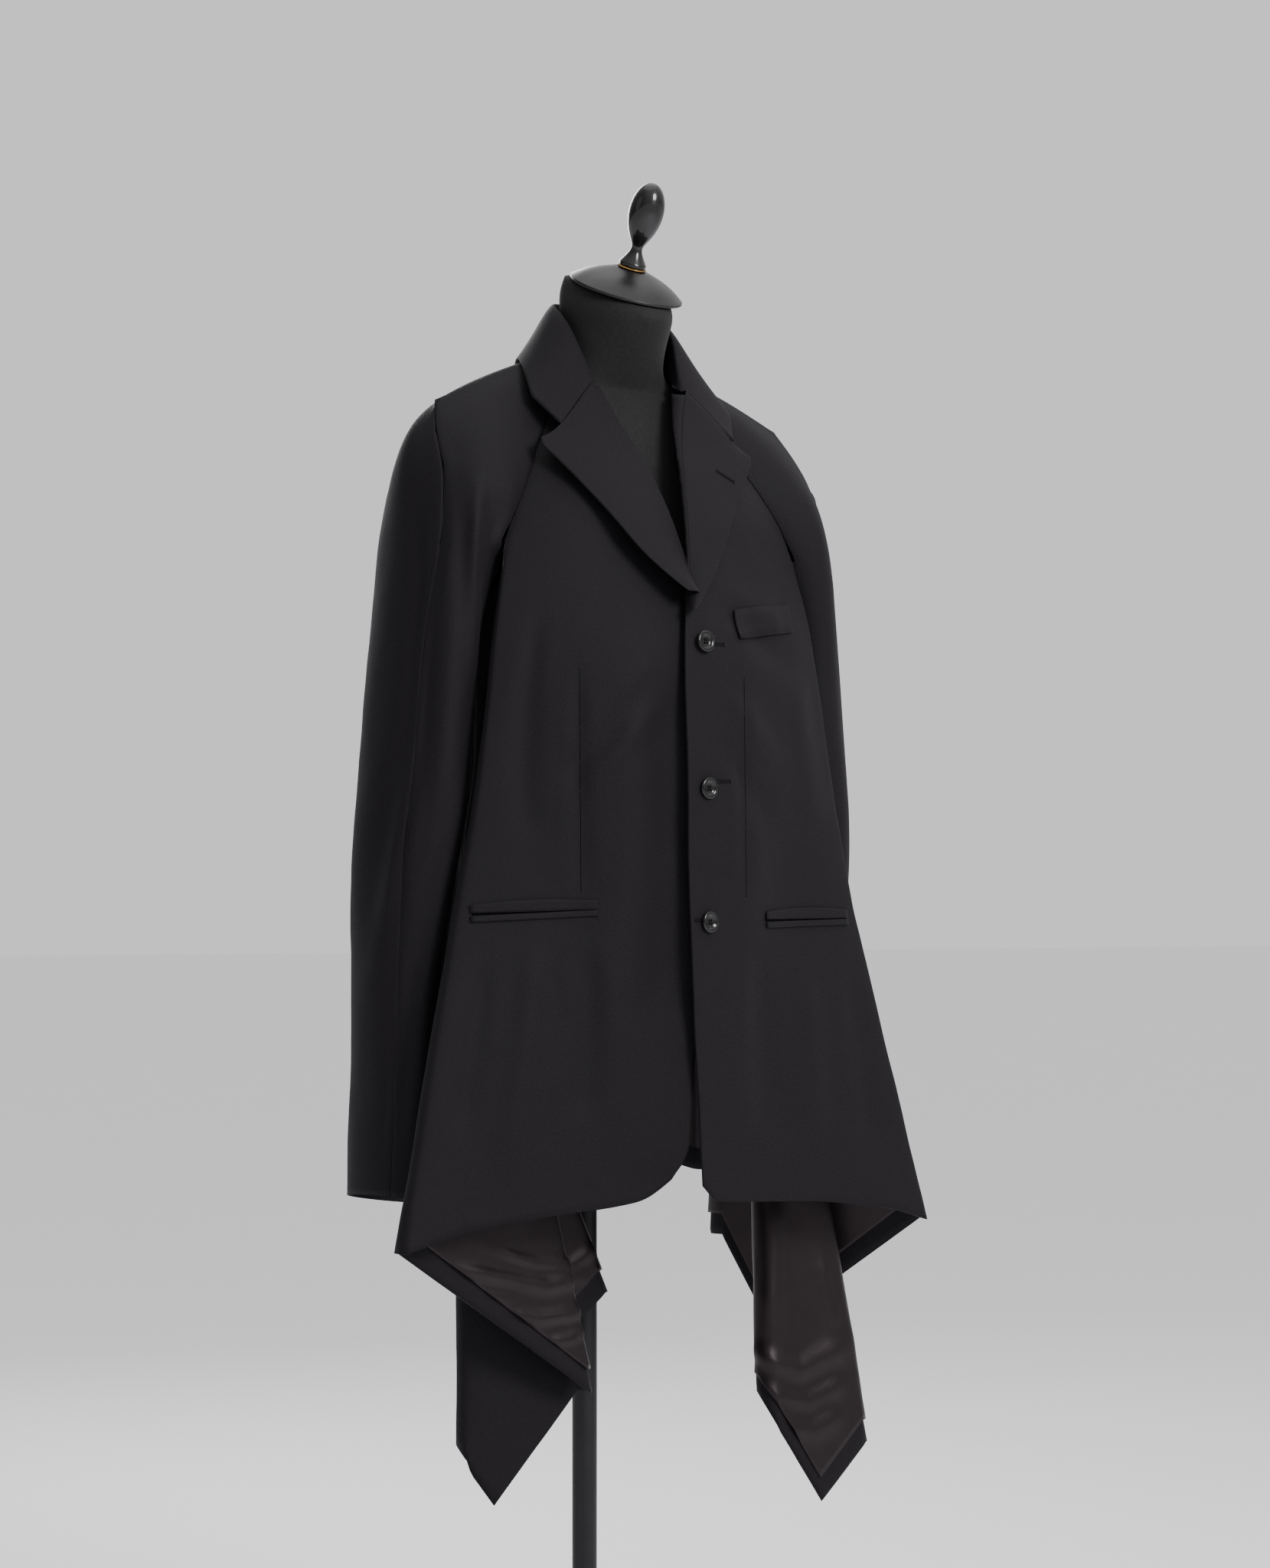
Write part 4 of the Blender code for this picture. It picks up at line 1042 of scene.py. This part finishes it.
class BLAZER_OT_rolls(bpy.types.Operator):
    """Make the turned cloth that joins each lapel to its front along the roll line"""

    bl_idname = "blazer.rolls"
    bl_label = "Lapel Rolls"

    def execute(self, context):
        start, stop = ROLL_ENDS
        for side, sign in SIDES.items():
            low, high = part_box("lapel_" + side)
            rows = []
            for k in range(ROLL_STATIONS):
                share = k / (ROLL_STATIONS - 1)
                height = low.z + start + (high.z - low.z - start - stop) * share
                top = leading_edge("lapel_" + side, sign, height)
                foot = leading_edge("front_" + side, sign, height)
                if top is not None and foot is not None:
                    rows.append((top, foot))
            roll_strip(side, sign, rows, context.scene.blazer_cloth.wool_thickness)
        return {"FINISHED"}


# How sharply each tail lining's wall turns at most, and how deep its hollows sink
LINING_TURN = {"right": math.radians(66), "left": math.radians(50)}
LINING_LOWEST = -0.0004


class BLAZER_OT_linings(bpy.types.Operator):
    """Make the lining that shows inside both folded tails"""

    bl_idname = "blazer.linings"
    bl_label = "Tail Linings"

    def execute(self, context):
        wall = context.scene.blazer_cloth.lining_thickness
        for side, turn in LINING_TURN.items():
            name = "tail_lining_" + side
            sheet = wall_side(name, wall, facing_in, turn)
            lay_cloth(name, sheet, CLOTH_LEVELS + 1, wall, "lining", "lining",
                      neighbours=(), groove=0.0, lowest=LINING_LOWEST)
        return {"FINISHED"}


# Strips sewn on the fronts: the piece, its front, and how deep it is sunk in the front's cloth
STRIPS = (("chest_welt", "front_left", 0.0013),
          ("pocket_jet_upper_right", "front_right", 0.0005),
          ("pocket_jet_lower_right", "front_right", 0.0005),
          ("pocket_jet_upper_left", "front_left", 0.0005),
          ("pocket_jet_lower_left", "front_left", 0.0005))
STRIP_THICKNESS = 0.0018
STRIP_LEVELS = 2


class BLAZER_OT_pockets(bpy.types.Operator):
    """Make the chest welt and the jets of both hip pockets"""

    bl_idname = "blazer.pockets"
    bl_label = "Pockets"

    def execute(self, context):
        for name, front, sunk in STRIPS:
            sheet = wall_side(name, STRIP_THICKNESS, to_front)
            lay_cloth(name, sheet, STRIP_LEVELS, STRIP_THICKNESS, "wool", "wool",
                      neighbours=(), creased_as=front, groove=0.0, sunk=sunk)
        return {"FINISHED"}


# Hard pieces that keep their node's shape, with a finer surface: node, finish and slot, levels
HARD_PIECES = (("form_torso", "jersey", 2), ("neck_cap", "satin", 2), ("finial_ring", "brass", 2),
               ("finial", "lacquer", 2), ("pole", "steel", 1), ("base", "steel", 2))
FLAT_TURN = math.radians(20)       # triangles that turn less than this are joined into quads
QUAD_SKEW = math.radians(60)
SHARP_TURN = math.radians(40)      # edges that turn more than this stay crisp
CRISP = 0.9


def smooth_node(name, finish, levels):
    """A finer copy of a hard node that stands for it."""
    bm = merged_copy(name)
    bmesh.ops.join_triangles(bm, faces=bm.faces, angle_face_threshold=FLAT_TURN,
                             angle_shape_threshold=QUAD_SKEW)
    crease = bm.edges.layers.float.new("crease_edge")
    for edge in bm.edges:
        if len(edge.link_faces) == 2 and edge.calc_face_angle() > SHARP_TURN:
            edge[crease] = CRISP
    piece = object_of("finished_" + name, bm, finish)
    smoother = piece.modifiers.new("smoother", "SUBSURF")
    smoother.levels = levels
    smoother.render_levels = levels
    stand_for(piece, name)


class BLAZER_OT_form(bpy.types.Operator):
    """Make the dress form's torso, neck cap, finial and stand"""

    bl_idname = "blazer.form"
    bl_label = "Dress Form"

    def execute(self, context):
        for name, finish, levels in HARD_PIECES:
            smooth_node(name, finish, levels)
        return {"FINISHED"}


# Buttons

# Section of a button, from its middle over its face, round its rim and back: radius and height
BUTTON_PROFILE = ((0.0000, -0.0002), (0.0040, -0.0002), (0.0052, 0.0003), (0.0062, 0.0012),
                  (0.0074, 0.0018), (0.0088, 0.0019), (0.0097, 0.0013), (0.0100, 0.0004),
                  (0.0098, -0.0006), (0.0088, -0.0013), (0.0040, -0.0015), (0.0000, -0.0015))
BUTTON_SEGMENTS = 48
BUTTON_SHARP = math.radians(50)
HOLES = 4
HOLE_RADIUS = 0.00105
HOLE_PLACE = 0.0019                # from the button's middle to a hole's
DRILL_SEGMENTS = 16
DRILL_LENGTH = 0.01

# The threads: strands side by side, and each one's path, as a share of the way from the middle
# to a hole, and a height
STRAND_GAP = 0.00035
STRAND_RADIUS = 0.00022
STRAND_SIDES = 6
STRAND_PATH = ((-1.0, -0.0012), (-0.7, 0.0002), (0.0, 0.0006), (0.7, 0.0002), (1.0, -0.0012))
SAME_WAY = 0.99                    # cosine between normals that count as one direction


def node_facing(name):
    """Centre of a flat round node and the direction its face looks in."""
    mesh = NODES[name].data
    best = max(mesh.polygons, key=lambda face: face.area * (face.normal.y < 0))
    total = Vector()
    for face in mesh.polygons:
        if face.normal.dot(best.normal) > SAME_WAY:
            total += face.normal * face.area
    low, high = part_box(name)
    return (low + high) / 2.0, total.normalized()


def spun(profile, segments):
    """A closed round body from a profile of radius and height, about +Z."""
    bm = bmesh.new()
    verts = [bm.verts.new((radius, 0.0, height)) for radius, height in profile]
    edges = [bm.edges.new(pair) for pair in zip(verts[:-1], verts[1:])]
    bmesh.ops.spin(bm, geom=verts + edges, cent=(0, 0, 0), axis=(0, 0, 1), dvec=(0, 0, 0),
                   angle=math.tau, steps=segments, use_merge=True)
    bmesh.ops.remove_doubles(bm, verts=bm.verts, dist=MERGE)
    bmesh.ops.recalc_face_normals(bm, faces=bm.faces)
    return bm


def drilled_button():
    """Mesh of a four-hole button with a rolled rim and a dished middle."""
    body = object_of("button_blank", spun(BUTTON_PROFILE, BUTTON_SEGMENTS), "button")
    drill = bmesh.new()
    for turn in range(HOLES):
        angle = math.tau * (turn + 0.5) / HOLES
        at = Vector((math.cos(angle), math.sin(angle), 0.0)) * HOLE_PLACE
        bmesh.ops.create_cone(drill, cap_ends=True, segments=DRILL_SEGMENTS, radius1=HOLE_RADIUS,
                              radius2=HOLE_RADIUS, depth=DRILL_LENGTH,
                              matrix=Matrix.Translation(at))
    cutter = object_of("button_drill", drill, "button")
    cut = body.modifiers.new("holes", "BOOLEAN")
    cut.operation = "DIFFERENCE"
    cut.solver = "EXACT"
    cut.object = cutter
    view = bpy.context.evaluated_depsgraph_get()
    mesh = bpy.data.meshes.new_from_object(body.evaluated_get(view))
    bpy.data.objects.remove(body)
    bpy.data.objects.remove(cutter)
    return mesh


def tube(bm, points, radius, sides):
    """Adds a thin closed tube along a few points."""
    rings = []
    for i, point in enumerate(points):
        ahead = Vector(points[min(i + 1, len(points) - 1)]) - Vector(points[max(i - 1, 0)])
        turn = ahead.to_track_quat("Z", "Y").to_matrix().to_4x4()
        ring = bmesh.ops.create_circle(bm, segments=sides, radius=radius,
                                       matrix=Matrix.Translation(point) @ turn)["verts"]
        rings.append(ring)
    for one, other in zip(rings[:-1], rings[1:]):
        for k in range(sides):
            after = (k + 1) % sides
            bm.faces.new((one[k], one[after], other[after], other[k]))
    bm.faces.new(list(reversed(rings[0])))
    bm.faces.new(rings[-1])


class BLAZER_OT_buttons(bpy.types.Operator):
    """Make the three buttons and the thread that holds each"""

    bl_idname = "blazer.buttons"
    bl_label = "Buttons"

    def execute(self, context):
        blank = drilled_button()
        for number in (1, 2, 3):
            node = "button_%d" % number
            centre, facing = node_facing(node)
            side = Vector((0.0, 0.0, 1.0)).cross(facing).normalized()
            place = Matrix((side, facing.cross(side), facing)).transposed().to_4x4()
            place.translation = centre
            mesh = blank.copy()
            mesh.transform(place)
            mesh.shade_smooth()
            mesh.set_sharp_from_angle(angle=BUTTON_SHARP)
            stand_for(new_object("drilled_" + node, mesh), node)
            bm = bmesh.new()
            reach = HOLE_PLACE * math.sqrt(0.5)
            for row in (-1, 1):
                for strand in (-1, 0, 1):
                    across = row * reach + strand * STRAND_GAP
                    tube(bm, [(reach * share, across, height) for share, height in STRAND_PATH],
                         STRAND_RADIUS, STRAND_SIDES)
            bmesh.ops.recalc_face_normals(bm, faces=bm.faces)
            bm.transform(place)
            thread = object_of("thread_" + node, bm, "thread")
            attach(thread, "root")
        return {"FINISHED"}


# Buttonholes and pocket mouths, placed where the photograph's view sees them

def spot_in_view(tree, pixel, lift):
    """Point on a sheet under a pixel of the photograph, raised from the cloth, and its normal."""
    side, height = from_pixels([pixel])[0]
    aim = VIEW_RIGHT * side + Vector((0.0, 0.0, EYE_HEIGHT + height)) - CAMERA_SPOT
    spot, normal, _, _ = tree.ray_cast(CAMERA_SPOT, aim.normalized())
    if normal.dot(aim) > 0.0:
        normal = -normal
    return spot + normal * lift, normal


def sheet_tree(node):
    bm = bmesh.new()
    bm.from_mesh(bpy.data.objects["cloth_" + node].data)
    return BVHTree.FromBMesh(bm)


def line_in_view(tree, start, end, count, lift):
    """Points along a line of the photograph, on a sheet, with their normals."""
    return [spot_in_view(tree, [a + (b - a) * k / (count - 1) for a, b in zip(start, end)], lift)
            for k in range(count)]


SLOT_HALF = 0.0007                 # half the width of a cut buttonhole
STITCH_REACH = 0.0019              # how far its stitches reach from the middle
STITCH_LIFT = 0.0003               # how far they lie above the cloth
STITCH_ARCH = 0.0002               # and how far their middles rise and their ends sink
CORD_LIFT = 0.00015
THREAD_RADIUS = 0.00020
CORD = 1.3                         # the thread along the slot's edges, as a share of a stitch's
BAR = 1.6                          # the bars at its ends, as a share too
STITCH_SIDES = 5
STITCHES = 18

# Buttonholes: piece, then the two ends in the photograph's pixels
BUTTONHOLES = (("front_left", (920, 841), (946, 842)), ("front_left", (928, 1020), (954, 1021)),
               ("front_left", (908, 1202), (932, 1201)), ("lapel_left", (936, 615), (959, 630)))


def stitched_hole(node, start, end):
    """A cut slot with buttonhole stitches along both sides and a bar at each end."""
    tree = sheet_tree(node)
    spots = line_in_view(tree, start, end, STITCHES, STITCH_LIFT)
    along = (spots[-1][0] - spots[0][0]).normalized()
    bm = bmesh.new()
    for side in (-1.0, 1.0):
        edge = []
        for point, normal in spots:
            across = normal.cross(along).normalized() * side
            near = point + across * SLOT_HALF
            far = point + across * STITCH_REACH - normal * STITCH_ARCH
            middle = near.lerp(far, 0.5) + normal * STITCH_ARCH
            tube(bm, [near, middle, far], THREAD_RADIUS, STITCH_SIDES)
            edge.append(near + normal * CORD_LIFT)
        tube(bm, edge, THREAD_RADIUS * CORD, STITCH_SIDES)
    for point, normal in (spots[0], spots[-1]):
        across = normal.cross(along).normalized() * STITCH_REACH
        bar = [point - across, point + normal * STITCH_ARCH, point + across]
        tube(bm, bar, THREAD_RADIUS * BAR, STITCH_SIDES)
    bmesh.ops.recalc_face_normals(bm, faces=bm.faces)
    return bm


# Pocket mouths, dark sheets of painted shade between the lips: piece, upper edge and lower edge in
# the photograph's pixels
MOUTHS = (("front_right", ((614, 1188), (782, 1178)), ((618, 1200), (781, 1191))),
          ("front_left", ((999, 1193), (1104, 1191)), ((999, 1203), (1104, 1207))))
MOUTH_COLUMNS = 14
MOUTH_ROWS = ((0.0, 0.0007), (0.5, 0.0003), (1.0, 0.0007))  # share of the way down, and lift


def pocket_mouth(node, upper, lower):
    """A dark sheet of painted shade laid on the cloth between the two lips of a pocket, lower at
    its middle.
    """
    tree = sheet_tree(node)
    rows = []
    for share, lift in MOUTH_ROWS:
        start = [a + (b - a) * share for a, b in zip(upper[0], lower[0])]
        end = [a + (b - a) * share for a, b in zip(upper[1], lower[1])]
        rows.append([point for point, _ in line_in_view(tree, start, end, MOUTH_COLUMNS, lift)])
    bm = bmesh.new()
    fill_grid(bm, [[bm.verts.new(point) for point in row] for row in rows])
    return bm


# Darts, drawn as dark lines of painted shade: piece, upper and lower end in the photograph's
# pixels
DARTS = (("front_right", (757, 872), (759, 1166)), ("front_left", (972, 884), (975, 1172)))
DART_POINTS = 40
DART_HALF = 0.0003                 # half the thickness of the dart's line


def dart_line(node, start, end):
    """The line of a dart's seam, drawn as a thin dark tube of painted shade along the cloth."""
    bm = bmesh.new()
    spots = line_in_view(sheet_tree(node), start, end, DART_POINTS, 0.0)
    tube(bm, [point for point, _ in spots], DART_HALF, STITCH_SIDES)
    bmesh.ops.recalc_face_normals(bm, faces=bm.faces)
    return bm


class BLAZER_OT_openings(bpy.types.Operator):
    """Make the buttonholes, and the dark lines and sheets of painted shade along the dart seams
    and in the mouths of the hip pockets
    """

    bl_idname = "blazer.openings"
    bl_label = "Buttonholes and Pocket Mouths"

    def execute(self, context):
        for number, (node, start, end) in enumerate(BUTTONHOLES, 1):
            name = "buttonhole_%d" % number
            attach(object_of(name, stitched_hole(node, start, end), "thread"), "root")
        for number, (node, upper, lower) in enumerate(MOUTHS, 1):
            name = "pocket_mouth_%d" % number
            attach(object_of(name, pocket_mouth(node, upper, lower), "shadow"), "root")
        for number, (node, start, end) in enumerate(DARTS, 1):
            name = "dart_%d" % number
            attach(object_of(name, dart_line(node, start, end), "shadow"), "root")
        return {"FINISHED"}


# Stage

ROOM_LEVEL = 0.45                  # brightness of the room's light at eye level
ROOM_ZENITH = 1.47                 # and overhead
ROOM_DARK = 0.30                   # share of it that is left on the wearer's right
ROOM_TURN = 0.8                    # cosine to the wearer's right at which that share is reached
ROOM_BACKDROP = 1.00               # brightness of the backdrop behind the floor's far edge
WHITE = (1.0, 1.0, 1.0, 1.0)
FLOOR_SIZE = 60.0
LAMP_AIM = Vector((0.0, 0.0, 0.95))

# Lamps: name, azimuth in degrees, distance, height, size and watts
LAMPS = (("key", 8.0, 2.6, 2.3, 1.1, 80.0), ("fill", -95.0, 2.6, 2.2, 1.6, 3.0),
         ("back", 165.0, 2.6, 2.3, 1.6, 46.0), ("top", 0.0, 0.2, 3.4, 2.6, 14.0))


def soft_room(trim):
    """Soft light, mostly from overhead, and the plain backdrop that the camera sees."""
    world = bpy.data.worlds.new("soft_room")
    world.use_nodes = True
    tree = world.node_tree
    tree.nodes.clear()
    seen = add_node(tree, "ShaderNodeLightPath").outputs["Is Camera Ray"]
    way = add_node(tree, "ShaderNodeTexCoord").outputs["Generated"]
    height = add_node(tree, "ShaderNodeSeparateXYZ", {"Vector": way}).outputs["Z"]
    level = add_node(tree, "ShaderNodeMapRange",
                     {"Value": height, "To Min": ROOM_LEVEL, "To Max": ROOM_ZENITH}).outputs[0]
    aside = add_node(tree, "ShaderNodeVectorMath",
                     {0: way, 1: tuple(-VIEW_RIGHT)}, operation="DOT_PRODUCT").outputs["Value"]
    dark = add_node(tree, "ShaderNodeMapRange",
                    {"Value": aside, "From Min": 0.0, "From Max": ROOM_TURN, "To Min": 1.0,
                     "To Max": ROOM_DARK}, interpolation_type="SMOOTHSTEP").outputs[0]
    lit = add_node(tree, "ShaderNodeMath", {0: level, 1: dark}, operation="MULTIPLY").outputs[0]
    strength = add_node(tree, "ShaderNodeMix", {0: seen, 2: lit, 3: ROOM_BACKDROP}).outputs[0]
    colour = add_node(tree, "ShaderNodeMix",
                      {0: seen, 6: WHITE, 7: shade(tuple(trim.floor_colour), 1.0)},
                      data_type="RGBA").outputs[2]
    light = add_node(tree, "ShaderNodeBackground", {"Color": colour, "Strength": strength})
    add_node(tree, "ShaderNodeOutputWorld", {"Surface": light.outputs[0]})
    return world


class BLAZER_OT_stage(bpy.types.Operator):
    """Make the pale floor, the soft lights and the camera"""

    bl_idname = "blazer.stage"
    bl_label = "Stage"

    def execute(self, context):
        data = bpy.data.cameras.new("camera")
        data.sensor_fit = "HORIZONTAL"
        data.sensor_width = SENSOR
        data.lens = SENSOR * PHOTO_SCALE * VIEW_DISTANCE / PHOTO_SIZE[0]
        data.shift_x = (PHOTO_SIZE[0] / 2.0 - PHOTO_ORIGIN[0]) / PHOTO_SIZE[0]
        data.shift_y = (PHOTO_ORIGIN[1] - PHOTO_SIZE[1] / 2.0) / PHOTO_SIZE[0]
        camera = new_object("camera", data)
        camera.location = CAMERA_SPOT
        camera.rotation_euler = (math.pi / 2.0, 0.0, -VIEW_TURN)
        context.scene.camera = camera

        bm = bmesh.new()
        bmesh.ops.create_grid(bm, x_segments=2, y_segments=2, size=FLOOR_SIZE)
        floor = object_of("floor", bm, "floor")

        context.scene.world = soft_room(context.scene.blazer_trim)
        for name, azimuth, distance, height, size, watts in LAMPS:
            lamp = bpy.data.lights.new(name, "AREA")
            lamp.shape = "DISK"
            lamp.size = size
            lamp.energy = watts
            turn = math.radians(azimuth)
            thing = new_object(name, lamp)
            thing.location = (math.sin(turn) * distance, -math.cos(turn) * distance, height)
            aim = LAMP_AIM - thing.location
            thing.rotation_euler = aim.to_track_quat("-Z", "Y").to_euler()
        return {"FINISHED"}


STEPS = ("stage", "fronts", "backs", "sleeves", "linings", "collar", "rolls", "pockets",
         "buttons", "openings", "form")


class BLAZER_PT_steps(bpy.types.Panel):
    """Lists the blazer's sizes, colours and pieces"""

    bl_idname = "BLAZER_PT_steps"
    bl_label = "Blazer"
    bl_space_type = "VIEW_3D"
    bl_region_type = "UI"
    bl_category = "Blazer"

    def draw(self, context):
        for group in (context.scene.blazer_cloth, context.scene.blazer_trim):
            for key in group.__annotations__:
                self.layout.prop(group, key)
        for step in STEPS:
            self.layout.operator("blazer." + step)


CLASSES = (BlazerCloth, BlazerTrim, BLAZER_OT_stage, BLAZER_OT_fronts, BLAZER_OT_backs,
           BLAZER_OT_sleeves, BLAZER_OT_linings, BLAZER_OT_collar, BLAZER_OT_rolls,
           BLAZER_OT_pockets, BLAZER_OT_buttons, BLAZER_OT_openings, BLAZER_OT_form,
           BLAZER_PT_steps)


def register():
    for item in CLASSES:
        bpy.utils.register_class(item)
    bpy.types.Scene.blazer_cloth = bpy.props.PointerProperty(type=BlazerCloth)
    bpy.types.Scene.blazer_trim = bpy.props.PointerProperty(type=BlazerTrim)


def unregister():
    del bpy.types.Scene.blazer_trim
    del bpy.types.Scene.blazer_cloth
    for item in reversed(CLASSES):
        bpy.utils.unregister_class(item)


def main():
    register()
    for step in STEPS:
        getattr(bpy.ops.blazer, step)()


if __name__ == "__main__":
    main()
